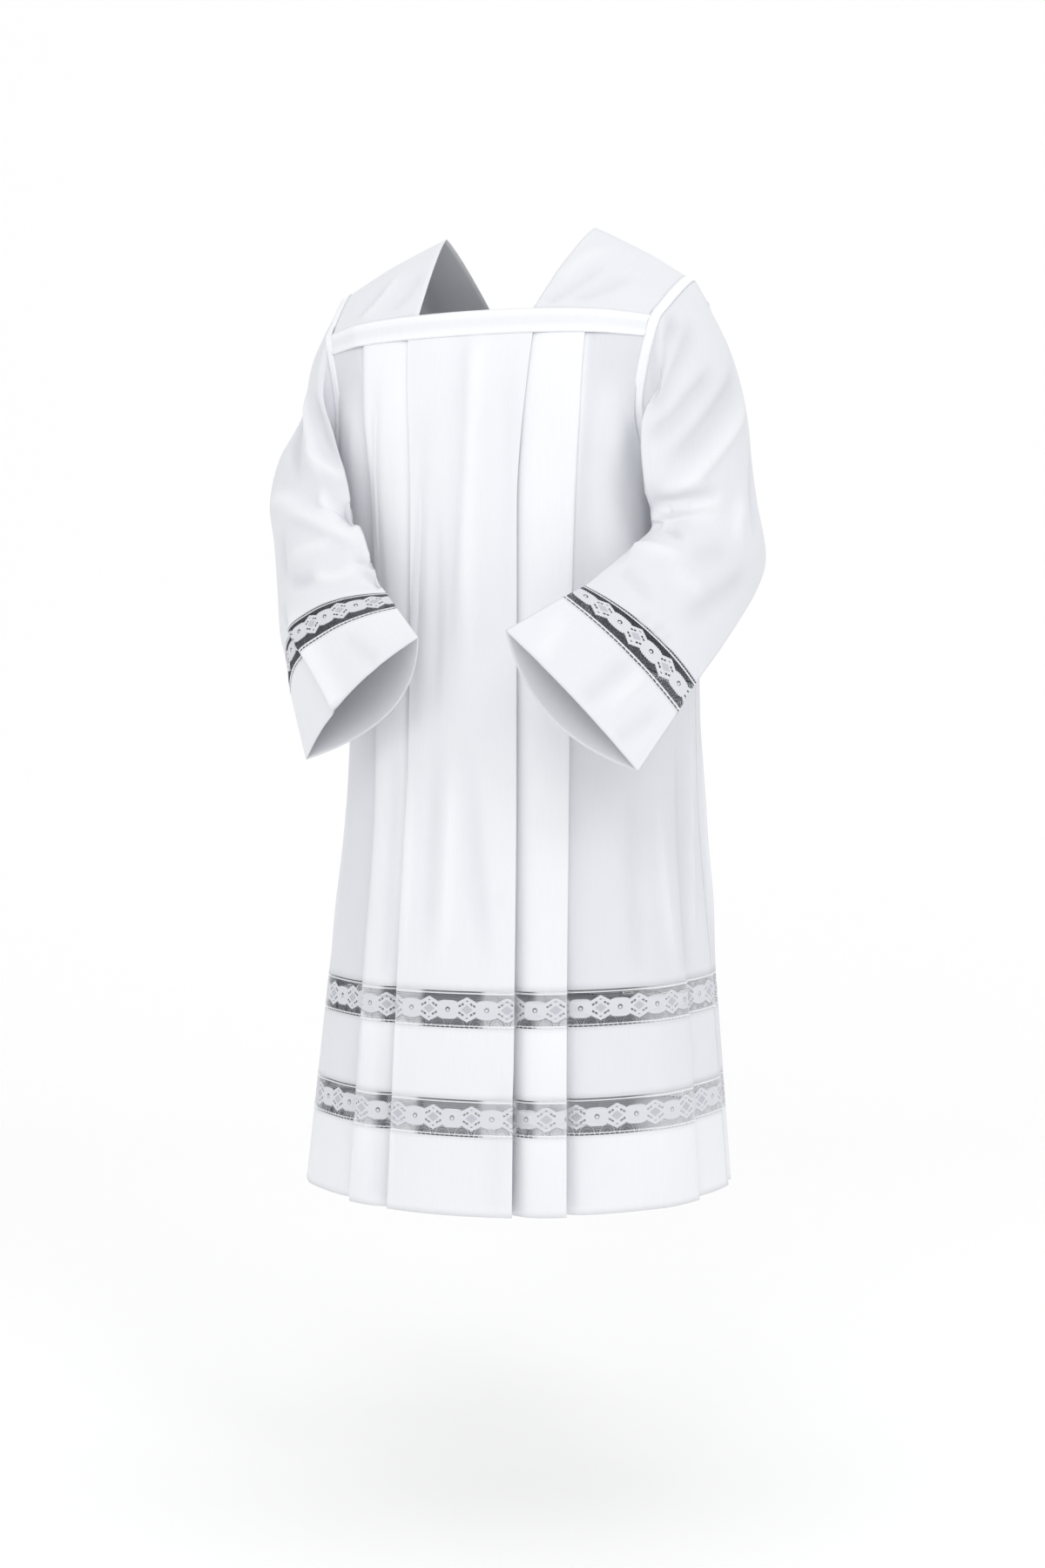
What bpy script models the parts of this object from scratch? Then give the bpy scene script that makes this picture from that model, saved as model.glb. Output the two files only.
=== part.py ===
"""A surplice as it is worn: pleated front and back, square yoke, wide sleeves and lace insertions.

Run with: blender --background --python part.py
Metres, +Z up, -Y is the wearer's front, +X the wearer's left. The origin is the point midway
between the two shoulder ridges at the neck, where the wearer carries the garment.
Every piece is a sheet of cloth: a grid of points on its middle surface, given a wall.
"""

import math

import bmesh
import bpy
import numpy as np
from mathutils.geometry import tessellate_polygon

WALL = 0.0012  # thickness of the cloth solids
SEAM_GAP = 0.0003  # clear space between two pieces at a seam
LAYER = 0.0020  # middle to middle of two layers in a pressed fold

# Heights of the seams on the body
BAND_DEPTH = 0.027  # the yoke band that the pleats are sewn into
FRONT_NECK_DROP = 0.120  # from the shoulder ridge down to the front neckline
BACK_NECK_DROP = 0.075
BAND_END_DROP = 0.010  # how much lower the band's ends lie than its middle
UNDERARM_Z = -0.345
HEM_Z = -1.143
HEM_BAND = 0.088
LACE_WIDTH = 0.041
STRIP_BETWEEN = 0.080

NECK_HALF_WIDTH_RIDGE = 0.0955
NECK_HALF_WIDTH_FRONT = 0.070
NECK_HALF_WIDTH_BACK = 0.075
# Where each shoulder ridge ends at the armhole: out from the centre, and down from the neck
SHOULDER_END = {"left": (0.208, 0.066), "right": (0.223, 0.060)}
RIDGE_ROUNDNESS = 1.2  # 1 is a sharp roof, 2 is round
ARMHOLE_STRIP_WIDTH = 0.011
# How far the strip leans outward round the armhole, and how much less it does at the underarm
STRIP_LEAN = 0.60
UNDERARM_LEAN_FALL = 1.1
UNDERARM_FROM = -0.3

LOWER_LACE_BOTTOM = HEM_Z + HEM_BAND
LOWER_LACE_TOP = LOWER_LACE_BOTTOM + LACE_WIDTH
UPPER_LACE_BOTTOM = LOWER_LACE_TOP + STRIP_BETWEEN
UPPER_LACE_TOP = UPPER_LACE_BOTTOM + LACE_WIDTH

# The body tube: half width, front, back, where it is widest, and how square it is
BODY = {
    "z": (-1.143, -0.900, -0.665, -0.500, -0.345, -0.280, -0.200, -0.150, -0.100, -0.060),
    "half_width": (0.259, 0.235, 0.211, 0.209, 0.209, 0.212, 0.218, 0.222, 0.225, 0.226),
    "front_y": (-0.2205, -0.207, -0.193, -0.189, -0.185, -0.181, -0.173, -0.163, -0.143, -0.120),
    "back_y": (0.187, 0.186, 0.185, 0.175, 0.160, 0.152, 0.135, 0.124, 0.112, 0.100),
    "widest_y": (-0.004, 0.015, 0.035, 0.030, 0.020, 0.010, 0.002, 0.0, 0.0, 0.0),
    "squareness": (2.1, 2.15, 2.2, 2.25, 2.4, 2.6, 3.0, 3.4, 3.6, 3.6),
}
# The knife pleats: where the two folds lie from the centre, how far the front's folds have
# swung towards +X, the cloth tucked behind and its depth, then the soft fold near the side seam
# and how far the edge rises at the seam
PLEATS = {
    "z": (-1.143, -0.900, -0.630, -0.345, -0.150),
    "first_fold": (0.077, 0.073, 0.067, 0.066, 0.0765),
    "second_fold": (0.138, 0.132, 0.127, 0.131, 0.137),
    "swing": (-0.009, -0.007, -0.004, -0.004, -0.003),
    "tucked": (0.024, 0.025, 0.027, 0.029, 0.030),
    "depth": (0.034, 0.027, 0.018, 0.009, 0.004),
    "side_fold": (0.010, 0.008, 0.004, 0.0, 0.0),
    "side_rise": (0.013, 0.009, 0.004, 0.0, 0.0),
}
# How far the panel beside each fold lies in, as a share of the pleat's depth
PLEAT_PANEL = {"part": (0.0, 0.5, 1.0), "share": (0.65, 0.10, 0.0)}
SIDE_CELLS = 8
SIDE_SHARES = (0.65, 0.22, 0.06, 0.0, 0.0, 0.0, 0.0, 0.0, 0.0)
SIDE_FOLD_SHARES = (0.0, 0.0, 0.0, 0.0, 0.0, 0.0, 1.0, 0.5, 0.0)
CENTRE_CELLS = 7  # lace half-repeats across the centre panel
SECTION_STEPS = 90  # half the points of a half section of the body
SECTION_CROWDING = 1.5  # draws those points towards the centre and the side seam
TANGENT_REACH = 0.004  # how far either side of a point the body's direction is taken

# The armhole edge of each panel: its height, and how far forward or back it lies
ARMHOLE_FRONT = {
    "z": (-0.335, -0.312, -0.280, -0.235, -0.190, -0.153, -0.130),
    "y": (-0.038, -0.082, -0.108, -0.120, -0.121, -0.118, -0.112),
}
ARMHOLE_BACK = {
    "z": (-0.335, -0.310, -0.270, -0.220, -0.160, -0.112, -0.085),
    "y": (0.055, 0.080, 0.097, 0.102, 0.097, 0.085, 0.075),
}
BAND_END_X = 0.2  # where the band's ends are taken to be, out from the centre
BAND_BOTTOM_SHARE = 0.6  # the band's lower edge curves down less than its top edge
SHOULDER_STEPS = (0.78, 0.54, 0.30, 0.10)  # shares of the way from the ridge to the band
ROWS_BELOW = (-0.45, -0.56, -0.67, -0.78)
YOKE_CELLS = 5
NECK_CELLS = 4

# The sleeves, ring by ring. The first ring lies halfway from the armhole strip to the table's
# first row. Each row is an oval through four points: on the back of the arm and the elbow, on
# the outer face, on the front and the crook of the arm, and on the side by the body.
SHOULDER_FULLNESS = 0.010  # how far the first ring stands out
ROUND_SHARE = 0.4  # how soon an oval's ends turn pointed as it grows flatter
LEFT_SLEEVE = (  # elbow side, face, crook side, body side
    ((0.228, 0.120, -0.275), (0.278, -0.030, -0.228), (0.206, -0.173, -0.258), (0.215, -0.015, -0.384)),
    ((0.268, 0.088, -0.345), (0.286, -0.080, -0.312), (0.210, -0.178, -0.322), (0.215, -0.025, -0.402)),
    ((0.296, 0.030, -0.395), (0.284, -0.095, -0.362), (0.210, -0.146, -0.367), (0.216, -0.035, -0.416)),
    ((0.298, -0.030, -0.442), (0.271, -0.145, -0.398), (0.193, -0.170, -0.397), (0.216, -0.075, -0.442)),
    ((0.287, -0.125, -0.503), (0.247, -0.182, -0.453), (0.171, -0.213, -0.428), (0.205, -0.152, -0.483)),
    ((0.274, -0.192, -0.548), (0.229, -0.224, -0.489), (0.162, -0.241, -0.443), (0.190, -0.198, -0.512)),
    ((0.261, -0.217, -0.580), (0.212, -0.251, -0.515), (0.150, -0.276, -0.457), (0.176, -0.227, -0.536)),
    ((0.231, -0.267, -0.645), (0.172, -0.304, -0.568), (0.106, -0.337, -0.495), (0.137, -0.283, -0.587)),
)
RIGHT_SLEEVE = (
    ((-0.238, 0.118, -0.270), (-0.274, -0.020, -0.212), (-0.170, -0.166, -0.257), (-0.215, -0.015, -0.382)),
    ((-0.266, 0.082, -0.330), (-0.284, -0.075, -0.270), (-0.148, -0.179, -0.312), (-0.220, -0.045, -0.394)),
    ((-0.295, 0.030, -0.380), (-0.280, -0.105, -0.318), (-0.136, -0.190, -0.350), (-0.228, -0.095, -0.398)),
    ((-0.292, -0.030, -0.418), (-0.246, -0.150, -0.358), (-0.118, -0.208, -0.370), (-0.200, -0.122, -0.412)),
    ((-0.263, -0.114, -0.483), (-0.200, -0.203, -0.438), (-0.084, -0.236, -0.430), (-0.158, -0.155, -0.469)),
    ((-0.243, -0.140, -0.520), (-0.182, -0.219, -0.466), (-0.072, -0.242, -0.446), (-0.137, -0.168, -0.497)),
    ((-0.228, -0.162, -0.556), (-0.159, -0.242, -0.499), (-0.046, -0.273, -0.465), (-0.114, -0.192, -0.523)),
    ((-0.190, -0.200, -0.633), (-0.106, -0.272, -0.561), (-0.001, -0.320, -0.500), (-0.071, -0.233, -0.579)),
)
STEPS_PER_RING = 2
# The deepest folds of each sleeve: where along and around, how deep, how long, how wide
LEFT_FOLDS = (
    {"along": 3.9, "around": 0.17, "depth": 0.009, "half_along": 0.5, "half_around": 0.09},
)
RIGHT_FOLDS = (
    {"along": 4.5, "around": 0.16, "depth": 0.007, "half_along": 0.5, "half_around": 0.10},
)

CLOTH_WHITE = (0.86, 0.87, 0.90)
LACE_WHITE = (0.80, 0.81, 0.84)
CLOTH_ROUGHNESS = 0.85

SHORTEST_MITRE = 0.6  # limits how far a wall's corner is drawn out
SHARP_ANGLE = 40  # degrees; edges sharper than this are shaded sharp

EYE_SIZE = 0.0050  # the open eye of each lace flower
SLOT_LENGTH = 0.0065  # the slots round each lace diamond
SLOT_WIDTH = 0.0043
SLOT_OUT = 0.0068  # a slot's middle from the diamond's middle
SLOT_LEAN = 35  # degrees


def read(table, column, at, key="z"):
    """A column of a table at any height, on a smooth line through its rows."""
    xs, ys = np.array(table[key], float), np.array(table[column], float)
    at = float(np.clip(at, xs[0], xs[-1]))
    i = int(np.clip(np.searchsorted(xs, at) - 1, 0, len(xs) - 2))
    rises = np.diff(ys) / np.diff(xs)
    rises = np.concatenate([rises[:1], rises, rises[-1:]])
    products = rises[:-1] * rises[1:]
    sums = np.where(products > 0, rises[:-1] + rises[1:], 1.0)
    slopes = np.where(products > 0, 2 * products / sums, 0.0)
    width = xs[i + 1] - xs[i]
    t = (at - xs[i]) / width
    start = ys[i] * (2 * t**3 - 3 * t**2 + 1) + slopes[i] * width * (t**3 - 2 * t**2 + t)
    end = ys[i + 1] * (3 * t**2 - 2 * t**3) + slopes[i + 1] * width * (t**3 - t**2)
    return start + end


def unit(vector):
    return vector / np.linalg.norm(vector)


def body_line(z, face):
    """Half of the body's section at a height: distances from the centre line, and x and y."""
    half_width = read(BODY, "half_width", z)
    widest = read(BODY, "widest_y", z)
    reach = read(BODY, "front_y" if face == "front" else "back_y", z) - widest
    power = 2 / read(BODY, "squareness", z)
    turn = np.linspace(0, 1, 2 * SECTION_STEPS + 1) ** SECTION_CROWDING * math.pi / 2
    turn = np.concatenate([turn[:SECTION_STEPS], (math.pi / 2 - turn[:SECTION_STEPS + 1])[::-1]])
    turn = np.unique(np.round(turn, 9))
    x = half_width * np.sin(turn) ** power
    y = widest + reach * np.maximum(np.cos(turn), 0) ** power
    along = np.concatenate([[0], np.cumsum(np.hypot(np.diff(x), np.diff(y)))])
    return along, x, y


def body_point(distance, z, face, inset=0.0):
    """The point of the body at a distance from the centre line, moved in by inset."""
    along, x, y = body_line(z, face)
    ahead = min(distance + TANGENT_REACH, along[-1])
    behind = ahead - 2 * TANGENT_REACH
    tangent = [np.interp(ahead, along, v) - np.interp(abs(behind), along, v) for v in (x, y)]
    if behind < 0:
        tangent[0] += 2 * np.interp(-behind, along, x)
    out = -1.0 if face == "front" else 1.0
    normal = unit(np.array([-out * tangent[1], out * tangent[0]]))
    point = [np.interp(distance, along, x), np.interp(distance, along, y)]
    return np.array([point[0] - inset * normal[0], point[1] - inset * normal[1], z])


def side_seam(z, face):
    return body_line(z, face)[0][-1]


def armhole_distance(z, face):
    """How far from the centre a panel reaches at a height: to its armhole, or its side seam."""
    if z <= UNDERARM_Z:
        return side_seam(z, face)
    table = ARMHOLE_FRONT if face == "front" else ARMHOLE_BACK
    along, _, y = body_line(z, face)
    order = slice(None) if face == "front" else slice(None, None, -1)
    return float(np.interp(read(table, "y", z), y[order], along[order]))


def neck_drop(face):
    return FRONT_NECK_DROP if face == "front" else BACK_NECK_DROP


def band_edge_z(x, face, below):
    """The height of the yoke band's top edge, or of the edge below it."""
    curve = BAND_END_DROP * (x / BAND_END_X) ** 2
    if below:
        return -neck_drop(face) - BAND_DEPTH - curve * BAND_BOTTOM_SHARE
    return -neck_drop(face) - curve


def band_point(distance, face, below):
    """A point of an edge of the yoke band."""
    z = band_edge_z(distance, face, below)
    for _ in range(3):
        z = band_edge_z(body_point(distance, z, face)[0], face, below)
    return body_point(distance, z, face)


def band_end(face, below):
    """How far from the centre an edge of the yoke band meets the armhole."""
    z = band_edge_z(BAND_END_X, face, below)
    for _ in range(3):
        distance = armhole_distance(z, face)
        z = band_edge_z(body_point(distance, z, face)[0], face, below)
    return distance


def pleat_path(z, end, swing):
    """The pleated half of a panel at a height: distances from the centre, and how far in."""
    first = read(PLEATS, "first_fold", z) + swing
    second = read(PLEATS, "second_fold", z) + swing
    tucked, depth = read(PLEATS, "tucked", z), read(PLEATS, "depth", z)
    side_fold = read(PLEATS, "side_fold", z)
    path = [(first * (2 * k + 1) / CENTRE_CELLS, 0.0) for k in range(CENTRE_CELLS // 2 + 1)]
    for fold, following in ((first, second), (second, None)):
        path.append((fold, LAYER))
        path.append((fold - tucked, depth - LAYER))
        path.append((fold - tucked, depth))
        if following:
            for part, share in zip(PLEAT_PANEL["part"], PLEAT_PANEL["share"]):
                inset = max(depth * share, 2 * LAYER) if part == 0 else depth * share
                path.append((fold + (following - fold) * part, inset))
    for k in range(SIDE_CELLS + 1):
        inset = depth * SIDE_SHARES[k] + side_fold * SIDE_FOLD_SHARES[k]
        if k == 0:
            inset = max(inset, 2 * LAYER)
        path.append((second + (end - second) * k / SIDE_CELLS, inset))
    return path


def both_halves(make, z, face):
    """A row for the whole width, from one half of it as it lies on the +X side."""
    swing = read(PLEATS, "swing", z) if face == "front" else 0.0
    return np.concatenate([make(-swing)[::-1] * (-1, 1, 1), make(swing)])


def pleated_row(z, face):
    """A row of a panel; the skirt's edge rises towards the side seams."""
    end = armhole_distance(z, face)
    rise = read(PLEATS, "side_rise", z)

    def half(swing):
        points = []
        for distance, inset in pleat_path(z, end, swing):
            point = body_point(distance, z, face, inset)
            points.append(point + (0, 0, rise * (distance / end) ** 2))
        return np.array(points)

    return both_halves(half, z, face)


def pleated_top_row(face):
    """The row where the pleats are sewn to the yoke band."""
    end = band_end(face, True)
    seam_z = band_edge_z(BAND_END_X / 2, face, True)

    def half(swing):
        points = []
        for distance, inset in pleat_path(seam_z, end, swing):
            z = band_point(distance, face, True)[2]
            if distance < end:
                z -= SEAM_GAP
            points.append(body_point(distance, z, face, inset))
        return np.array(points)

    return both_halves(half, seam_z, face)


def body_panel(face):
    table = ARMHOLE_FRONT if face == "front" else ARMHOLE_BACK
    armhole_rows = sorted(table["z"][:5], reverse=True)
    heights = [*armhole_rows, UNDERARM_Z, *ROWS_BELOW, UPPER_LACE_TOP]
    return np.array([pleated_top_row(face)] + [pleated_row(z, face) for z in heights])


def body_band(face, top, bottom):
    return np.array([pleated_row(top, face), pleated_row(bottom, face)])


def neck_corner_distance(face):
    half_width = NECK_HALF_WIDTH_FRONT if face == "front" else NECK_HALF_WIDTH_BACK
    along, x, _ = body_line(band_edge_z(half_width, face, False), face)
    return float(np.interp(half_width, x, along))


def band_distances(face, below):
    """Where the columns of the yoke band lie: across the neckline, then along the yoke."""
    corner, end = neck_corner_distance(face), band_end(face, below)
    neck = [corner * 2 * k / NECK_CELLS for k in range(NECK_CELLS // 2)]
    yoke = [corner + (end - corner) * k / YOKE_CELLS for k in range(YOKE_CELLS + 1)]
    return neck[1:] + yoke


def yoke_band(face):
    rows = []
    for below in (False, True):
        half = [band_point(distance, face, below) for distance in band_distances(face, below)]
        middle = band_point(0.0, face, below)
        half = np.array(half)
        rows.append(np.concatenate([half[::-1] * (-1, 1, 1), [middle], half]))
    return np.array(rows)


def over_the_ridge(ridge, front_end, back_end):
    """A line from the front band over the shoulder ridge to the back band."""
    line = []
    for end, steps in ((front_end, (1.0, *SHOULDER_STEPS)), (back_end, (*SHOULDER_STEPS[::-1], 1.0))):
        part = [ridge + (end - ridge) * (t, t, t**RIDGE_ROUNDNESS) for t in steps]
        line += part + [ridge] if not line else part
    return np.array(line)


def yoke_edge(face):
    distances = band_distances(face, False)[-YOKE_CELLS - 1:]
    return np.array([band_point(distance, face, False) for distance in distances])


def shoulder_yoke(side):
    """A shoulder piece, on the +X side: a patch between neck, armhole and the two bands."""
    front, back = yoke_edge("front"), yoke_edge("back")
    neck = over_the_ridge(np.array([NECK_HALF_WIDTH_RIDGE, 0, 0]), front[0], back[0])
    half_width, drop = SHOULDER_END[side]
    ridge_end = np.array([half_width, 0, -drop])
    armhole = over_the_ridge(ridge_end, front[-1], back[-1])
    rows = len(neck)
    across = np.linspace(0, 1, YOKE_CELLS + 1)[None, :, None]
    down = np.linspace(0, 1, rows)[:, None, None]
    sides = neck[:, None] * (1 - across) + armhole[:, None] * across
    ends = front[None] * (1 - down) + back[None] * down
    corners = (front[0] * (1 - across) + front[-1] * across) * (1 - down)
    corners = corners + (back[0] * (1 - across) + back[-1] * across) * down
    return sides + ends - corners


def armhole_loop(side):
    """An armhole seam, on the +X side: down the front, round the underarm, up the back."""
    yoke_side = shoulder_yoke(side)[:, -1]
    middle = len(yoke_side) // 2
    loops = []
    for face, table in (("front", ARMHOLE_FRONT), ("back", ARMHOLE_BACK)):
        edge = [band_point(band_end(face, True), face, True)]
        heights = sorted(table["z"][:5], reverse=True)
        edge += [body_point(armhole_distance(z, face), z, face) for z in heights]
        loops.append(np.array(edge))
    underarm = body_point(side_seam(UNDERARM_Z, "front"), UNDERARM_Z, "front")
    shoulder_front, shoulder_back = yoke_side[:middle + 1][::-1], yoke_side[middle + 1:][::-1]
    return np.concatenate(
        [shoulder_front, loops[0], [underarm], loops[1][::-1], shoulder_back]
    )


def strip_loop(side):
    """The outer edge of the armhole strip, where the sleeve is sewn on."""
    inner = armhole_loop(side)
    centre = inner.mean(0)
    outer = []
    for point in inner:
        away = unit((point - centre) * (0, 1, 1))
        lean = STRIP_LEAN + UNDERARM_LEAN_FALL * min(0.0, away[2] - UNDERARM_FROM)
        outer.append(point + ARMHOLE_STRIP_WIDTH * unit(np.array([1, 0, 0]) - lean * away))
    return np.array(outer)


def ring_of(row, count):
    """One ring of a sleeve, from its outer face: an oval with more pointed ends the flatter it is."""
    elbow, face, crook, inner = (np.array(point) for point in row)
    centre, half = (elbow + crook) / 2, (crook - elbow) / 2
    thickness = np.linalg.norm(face - inner) / np.linalg.norm(half)
    flatness = max(0.0, 1 - ROUND_SHARE * thickness)
    points = []
    for k in range(count):
        angle = 2 * math.pi * k / count
        bulge = (face if math.cos(angle) > 0 else inner) - centre
        straight = math.asin(math.sin(angle)) * 2 / math.pi
        reach = (1 - flatness) * math.sin(angle) + flatness * straight
        points.append(centre + half * reach + bulge * abs(math.cos(angle)))
    return np.array(points)


def sleeve_rings(side, table, sign):
    """The control rings of one sleeve, from the armhole strip to the cuff."""
    start = strip_loop(side) * (sign, 1, 1)
    drawn = [ring_of(row, len(start)) for row in table]
    first = (start + drawn[0]) / 2 + (sign * SHOULDER_FULLNESS, 0, 0)
    return [start, first, *drawn]


def between(rings, position):
    """A ring at any position, on a smooth line through the control rings."""
    k = min(int(position), len(rings) - 2)
    t = position - k
    before, after = rings[max(k - 1, 0)], rings[min(k + 2, len(rings) - 1)]
    here, there = rings[k], rings[k + 1]
    return 0.5 * (
        2 * here
        + (there - before) * t
        + (2 * before - 5 * here + 4 * there - after) * t**2
        + (3 * here - before - 3 * there + after) * t**3
    )


def folded_in(ring, position, folds):
    """A ring with the sleeve's deepest folds pressed into it."""
    centre = ring.mean(0)
    count = len(ring)
    moved = ring.copy()
    for fold in folds:
        along = math.exp(-(((position - fold["along"]) / fold["half_along"]) ** 2))
        for k in range(count):
            around = math.exp(-(((k / count - fold["around"]) / fold["half_around"]) ** 2))
            moved[k] += unit(centre - ring[k]) * fold["depth"] * along * around
    return moved


def sleeve_grid(rings, first, last, steps, folds=()):
    positions = np.linspace(first, last, steps + 1)
    return np.array([folded_in(between(rings, position), position, folds) for position in positions])


def sheet_normals(points, closed):
    """Outward direction at each grid point, longer at sharp corners so the wall keeps its width."""
    rows, columns = points.shape[:2]
    ahead = np.roll(points, -1, axis=1) if closed else points
    if closed:
        across = (ahead - points)[:-1] + (ahead - points)[1:]
        down = (points[1:] - points[:-1]) + (ahead[1:] - ahead[:-1])
    else:
        across = (points[:, 1:] - points[:, :-1])[:-1] + (points[:, 1:] - points[:, :-1])[1:]
        step = points[1:] - points[:-1]
        down = step[:, 1:] + step[:, :-1]
    faces = np.cross(down, across)
    faces /= np.linalg.norm(faces, axis=2, keepdims=True)
    normals = np.zeros_like(points)
    for i in range(rows):
        for j in range(columns):
            near = []
            for a in (i - 1, i):
                for b in (j - 1, j):
                    if 0 <= a < rows - 1 and (closed or 0 <= b < columns - 1):
                        near.append(faces[a, b % faces.shape[1]])
            mean = unit(sum(near))
            normals[i, j] = mean / max(SHORTEST_MITRE, min(float(mean @ n) for n in near))
    return normals


def join_normals(sheets):
    """Where two sheets share a seam point, both walls end along the mean direction."""
    shared = {}
    for sheet in sheets:
        points = sheet["points"]
        for i, j in boundary(points, sheet["closed"]):
            key = tuple(np.round(points[i, j], 6))
            shared.setdefault(key, []).append((sheet, i, j))
    for found in shared.values():
        if len({sheet["name"] for sheet, _, _ in found}) < 2:
            continue
        normals = [unit(sheet["normals"][i, j]) for sheet, i, j in found]
        mean = unit(sum(normals))
        length = 1 / max(SHORTEST_MITRE, min(float(mean @ n) for n in normals))
        for sheet, i, j in found:
            sheet["normals"][i, j] = mean * length


def boundary(points, closed):
    rows, columns = points.shape[:2]
    for i in range(rows):
        for j in range(columns):
            if i in (0, rows - 1) or (not closed and j in (0, columns - 1)):
                yield i, j


def trimmed(points, normals, closed):
    """The grid with its edges drawn in by half a seam gap."""
    rows, columns = points.shape[:2]
    moved = points.copy()
    edges = [(0, 1, True), (rows - 1, rows - 2, True)]
    if not closed:
        edges += [(0, 1, False), (columns - 1, columns - 2, False)]
    for edge, inside, is_row in edges:
        line = points[edge] if is_row else points[:, edge]
        towards = (points[inside] if is_row else points[:, inside]) - line
        normal = normals[edge] if is_row else normals[:, edge]
        if closed:
            run = np.roll(line, -1, axis=0) - np.roll(line, 1, axis=0)
        else:
            run = np.gradient(line, axis=0)
        inward = np.cross(normal, run)
        inward /= np.linalg.norm(inward, axis=1, keepdims=True)
        inward *= np.sign(np.sum(inward * towards, axis=1, keepdims=True))
        target = moved[edge] if is_row else moved[:, edge]
        target += inward * SEAM_GAP / 2
    return moved


def hole_outlines(kind, width, height):
    """The holes of one lace cell, as outlines in shares of the cell's width and height."""
    if kind == "flower":
        r = EYE_SIZE / 2
        corners = ((r, 0), (0, r), (-r, 0), (0, -r))
        return [[(0.5 + x / width, 0.5 + y / height) for x, y in corners]]
    outlines = []
    for side in (-1, 1):
        reach, half = SLOT_LENGTH / 2, SLOT_WIDTH / 2
        corners = ((-reach, 0), (0, -half), (reach, 0), (0, half))
        lean = math.radians(SLOT_LEAN) * side
        outline = []
        for x, y in corners:
            turned_x = x * math.cos(lean) - y * math.sin(lean)
            turned_y = x * math.sin(lean) + y * math.cos(lean)
            across = 0.5 + turned_x / width
            outline.append((across, 0.5 + (side * SLOT_OUT + turned_y) / height))
        outlines.append(outline)
    return outlines


def cloth_solid(sheet):
    """A closed wall from a sheet's grid, with the holes of its lace cells cut through."""
    points = trimmed(sheet["points"], sheet["normals"], sheet["closed"])
    normals, closed = sheet["normals"], sheet["closed"]
    rows, columns = points.shape[:2]
    mesh = bmesh.new()
    layers = []
    for side in (0.5, -0.5):
        shell = points + normals * WALL * side
        layers.append([[mesh.verts.new(shell[i, j]) for j in range(columns)] for i in range(rows)])
    outer, inner = layers
    last = columns if closed else columns - 1
    for i in range(rows - 1):
        for j in range(last):
            k = (j + 1) % columns
            cell = [(i, j), (i + 1, j), (i + 1, k), (i, k)]
            outside = [outer[a][b] for a, b in cell]
            inside = [inner[a][b] for a, b in cell]
            kind = sheet["cells"].get(j)
            if kind is None:
                mesh.faces.new(outside)
                mesh.faces.new(inside[::-1])
            else:
                cut_cell(mesh, outside, inside, kind)
    edges = []
    for j in range(last):
        k = (j + 1) % columns
        edges += [((0, j), (0, k)), ((rows - 1, k), (rows - 1, j))]
    if not closed:
        for i in range(rows - 1):
            edges += [((i + 1, 0), (i, 0)), ((i, columns - 1), (i + 1, columns - 1))]
    for (a, b), (c, d) in edges:
        mesh.faces.new((outer[a][b], outer[c][d], inner[c][d], inner[a][b]))
    bmesh.ops.triangulate(mesh, faces=mesh.faces, quad_method="BEAUTY")
    bmesh.ops.recalc_face_normals(mesh, faces=mesh.faces)
    return mesh


def cut_cell(mesh, outside, inside, kind):
    """The two faces of one lace cell, pierced, with the walls of the holes."""
    top_left, bottom_left, bottom_right, top_right = (v.co.copy() for v in outside)
    width, height = (bottom_right - bottom_left).length, (top_left - bottom_left).length
    holes = hole_outlines(kind, width, height)
    flat = [[(0, 1, 0), (0, 0, 0), (1, 0, 0), (1, 1, 0)]]
    flat += [[(x, y, 0) for x, y in hole] for hole in holes]
    triangles = tessellate_polygon(flat)
    for corners, flip in ((outside, False), (inside, True)):
        a, b, c, d = (v.co.copy() for v in corners)
        made = list(corners)
        for hole in holes:
            for x, y in hole:
                low, high = b.lerp(c, x), a.lerp(d, x)
                made.append(mesh.verts.new(low.lerp(high, y)))
        for triangle in triangles:
            mesh.faces.new([made[n] for n in triangle])
        if flip:
            inner_made = made
        else:
            outer_made = made
    start = 4
    for hole in holes:
        count = len(hole)
        for n in range(count):
            a, b = start + n, start + (n + 1) % count
            mesh.faces.new((outer_made[a], outer_made[b], inner_made[b], inner_made[a]))
        start += count


def material(name, colour):
    made = bpy.data.materials.new(name)
    made.use_nodes = True
    shader = made.node_tree.nodes["Principled BSDF"]
    shader.inputs["Base Color"].default_value = (*colour, 1)
    shader.inputs["Roughness"].default_value = CLOTH_ROUGHNESS
    shader.inputs["Metallic"].default_value = 0.0
    return made


def add_object(sheet):
    mesh = cloth_solid(sheet)
    data = bpy.data.meshes.new(sheet["name"])
    mesh.to_mesh(data)
    mesh.free()
    data.materials.append(material(sheet["name"], sheet["colour"]))
    data.shade_smooth()
    data.set_sharp_from_angle(angle=math.radians(SHARP_ANGLE))
    made = bpy.data.objects.new(sheet["name"], data)
    bpy.context.scene.collection.objects.link(made)


def new_sheet(name, points, closed=False, cells=None, colour=CLOTH_WHITE):
    return {
        "name": name,
        "points": points,
        "closed": closed,
        "cells": cells or {},
        "colour": colour,
    }


def body_lace_cells():
    """Which cells of a pleated row lie flat in view, and what each holds."""
    half = CENTRE_CELLS // 2
    centre = ["diamond", "flower", "diamond"]
    skipped = [None] * 4
    pleat = ["flower", "diamond"]
    side = ["flower", "diamond"] * (SIDE_CELLS // 2)
    right = centre[:half] + skipped + pleat + skipped + side
    kinds = right[::-1] + ["flower"] + right
    return {n: kind for n, kind in enumerate(kinds) if kind}


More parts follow.
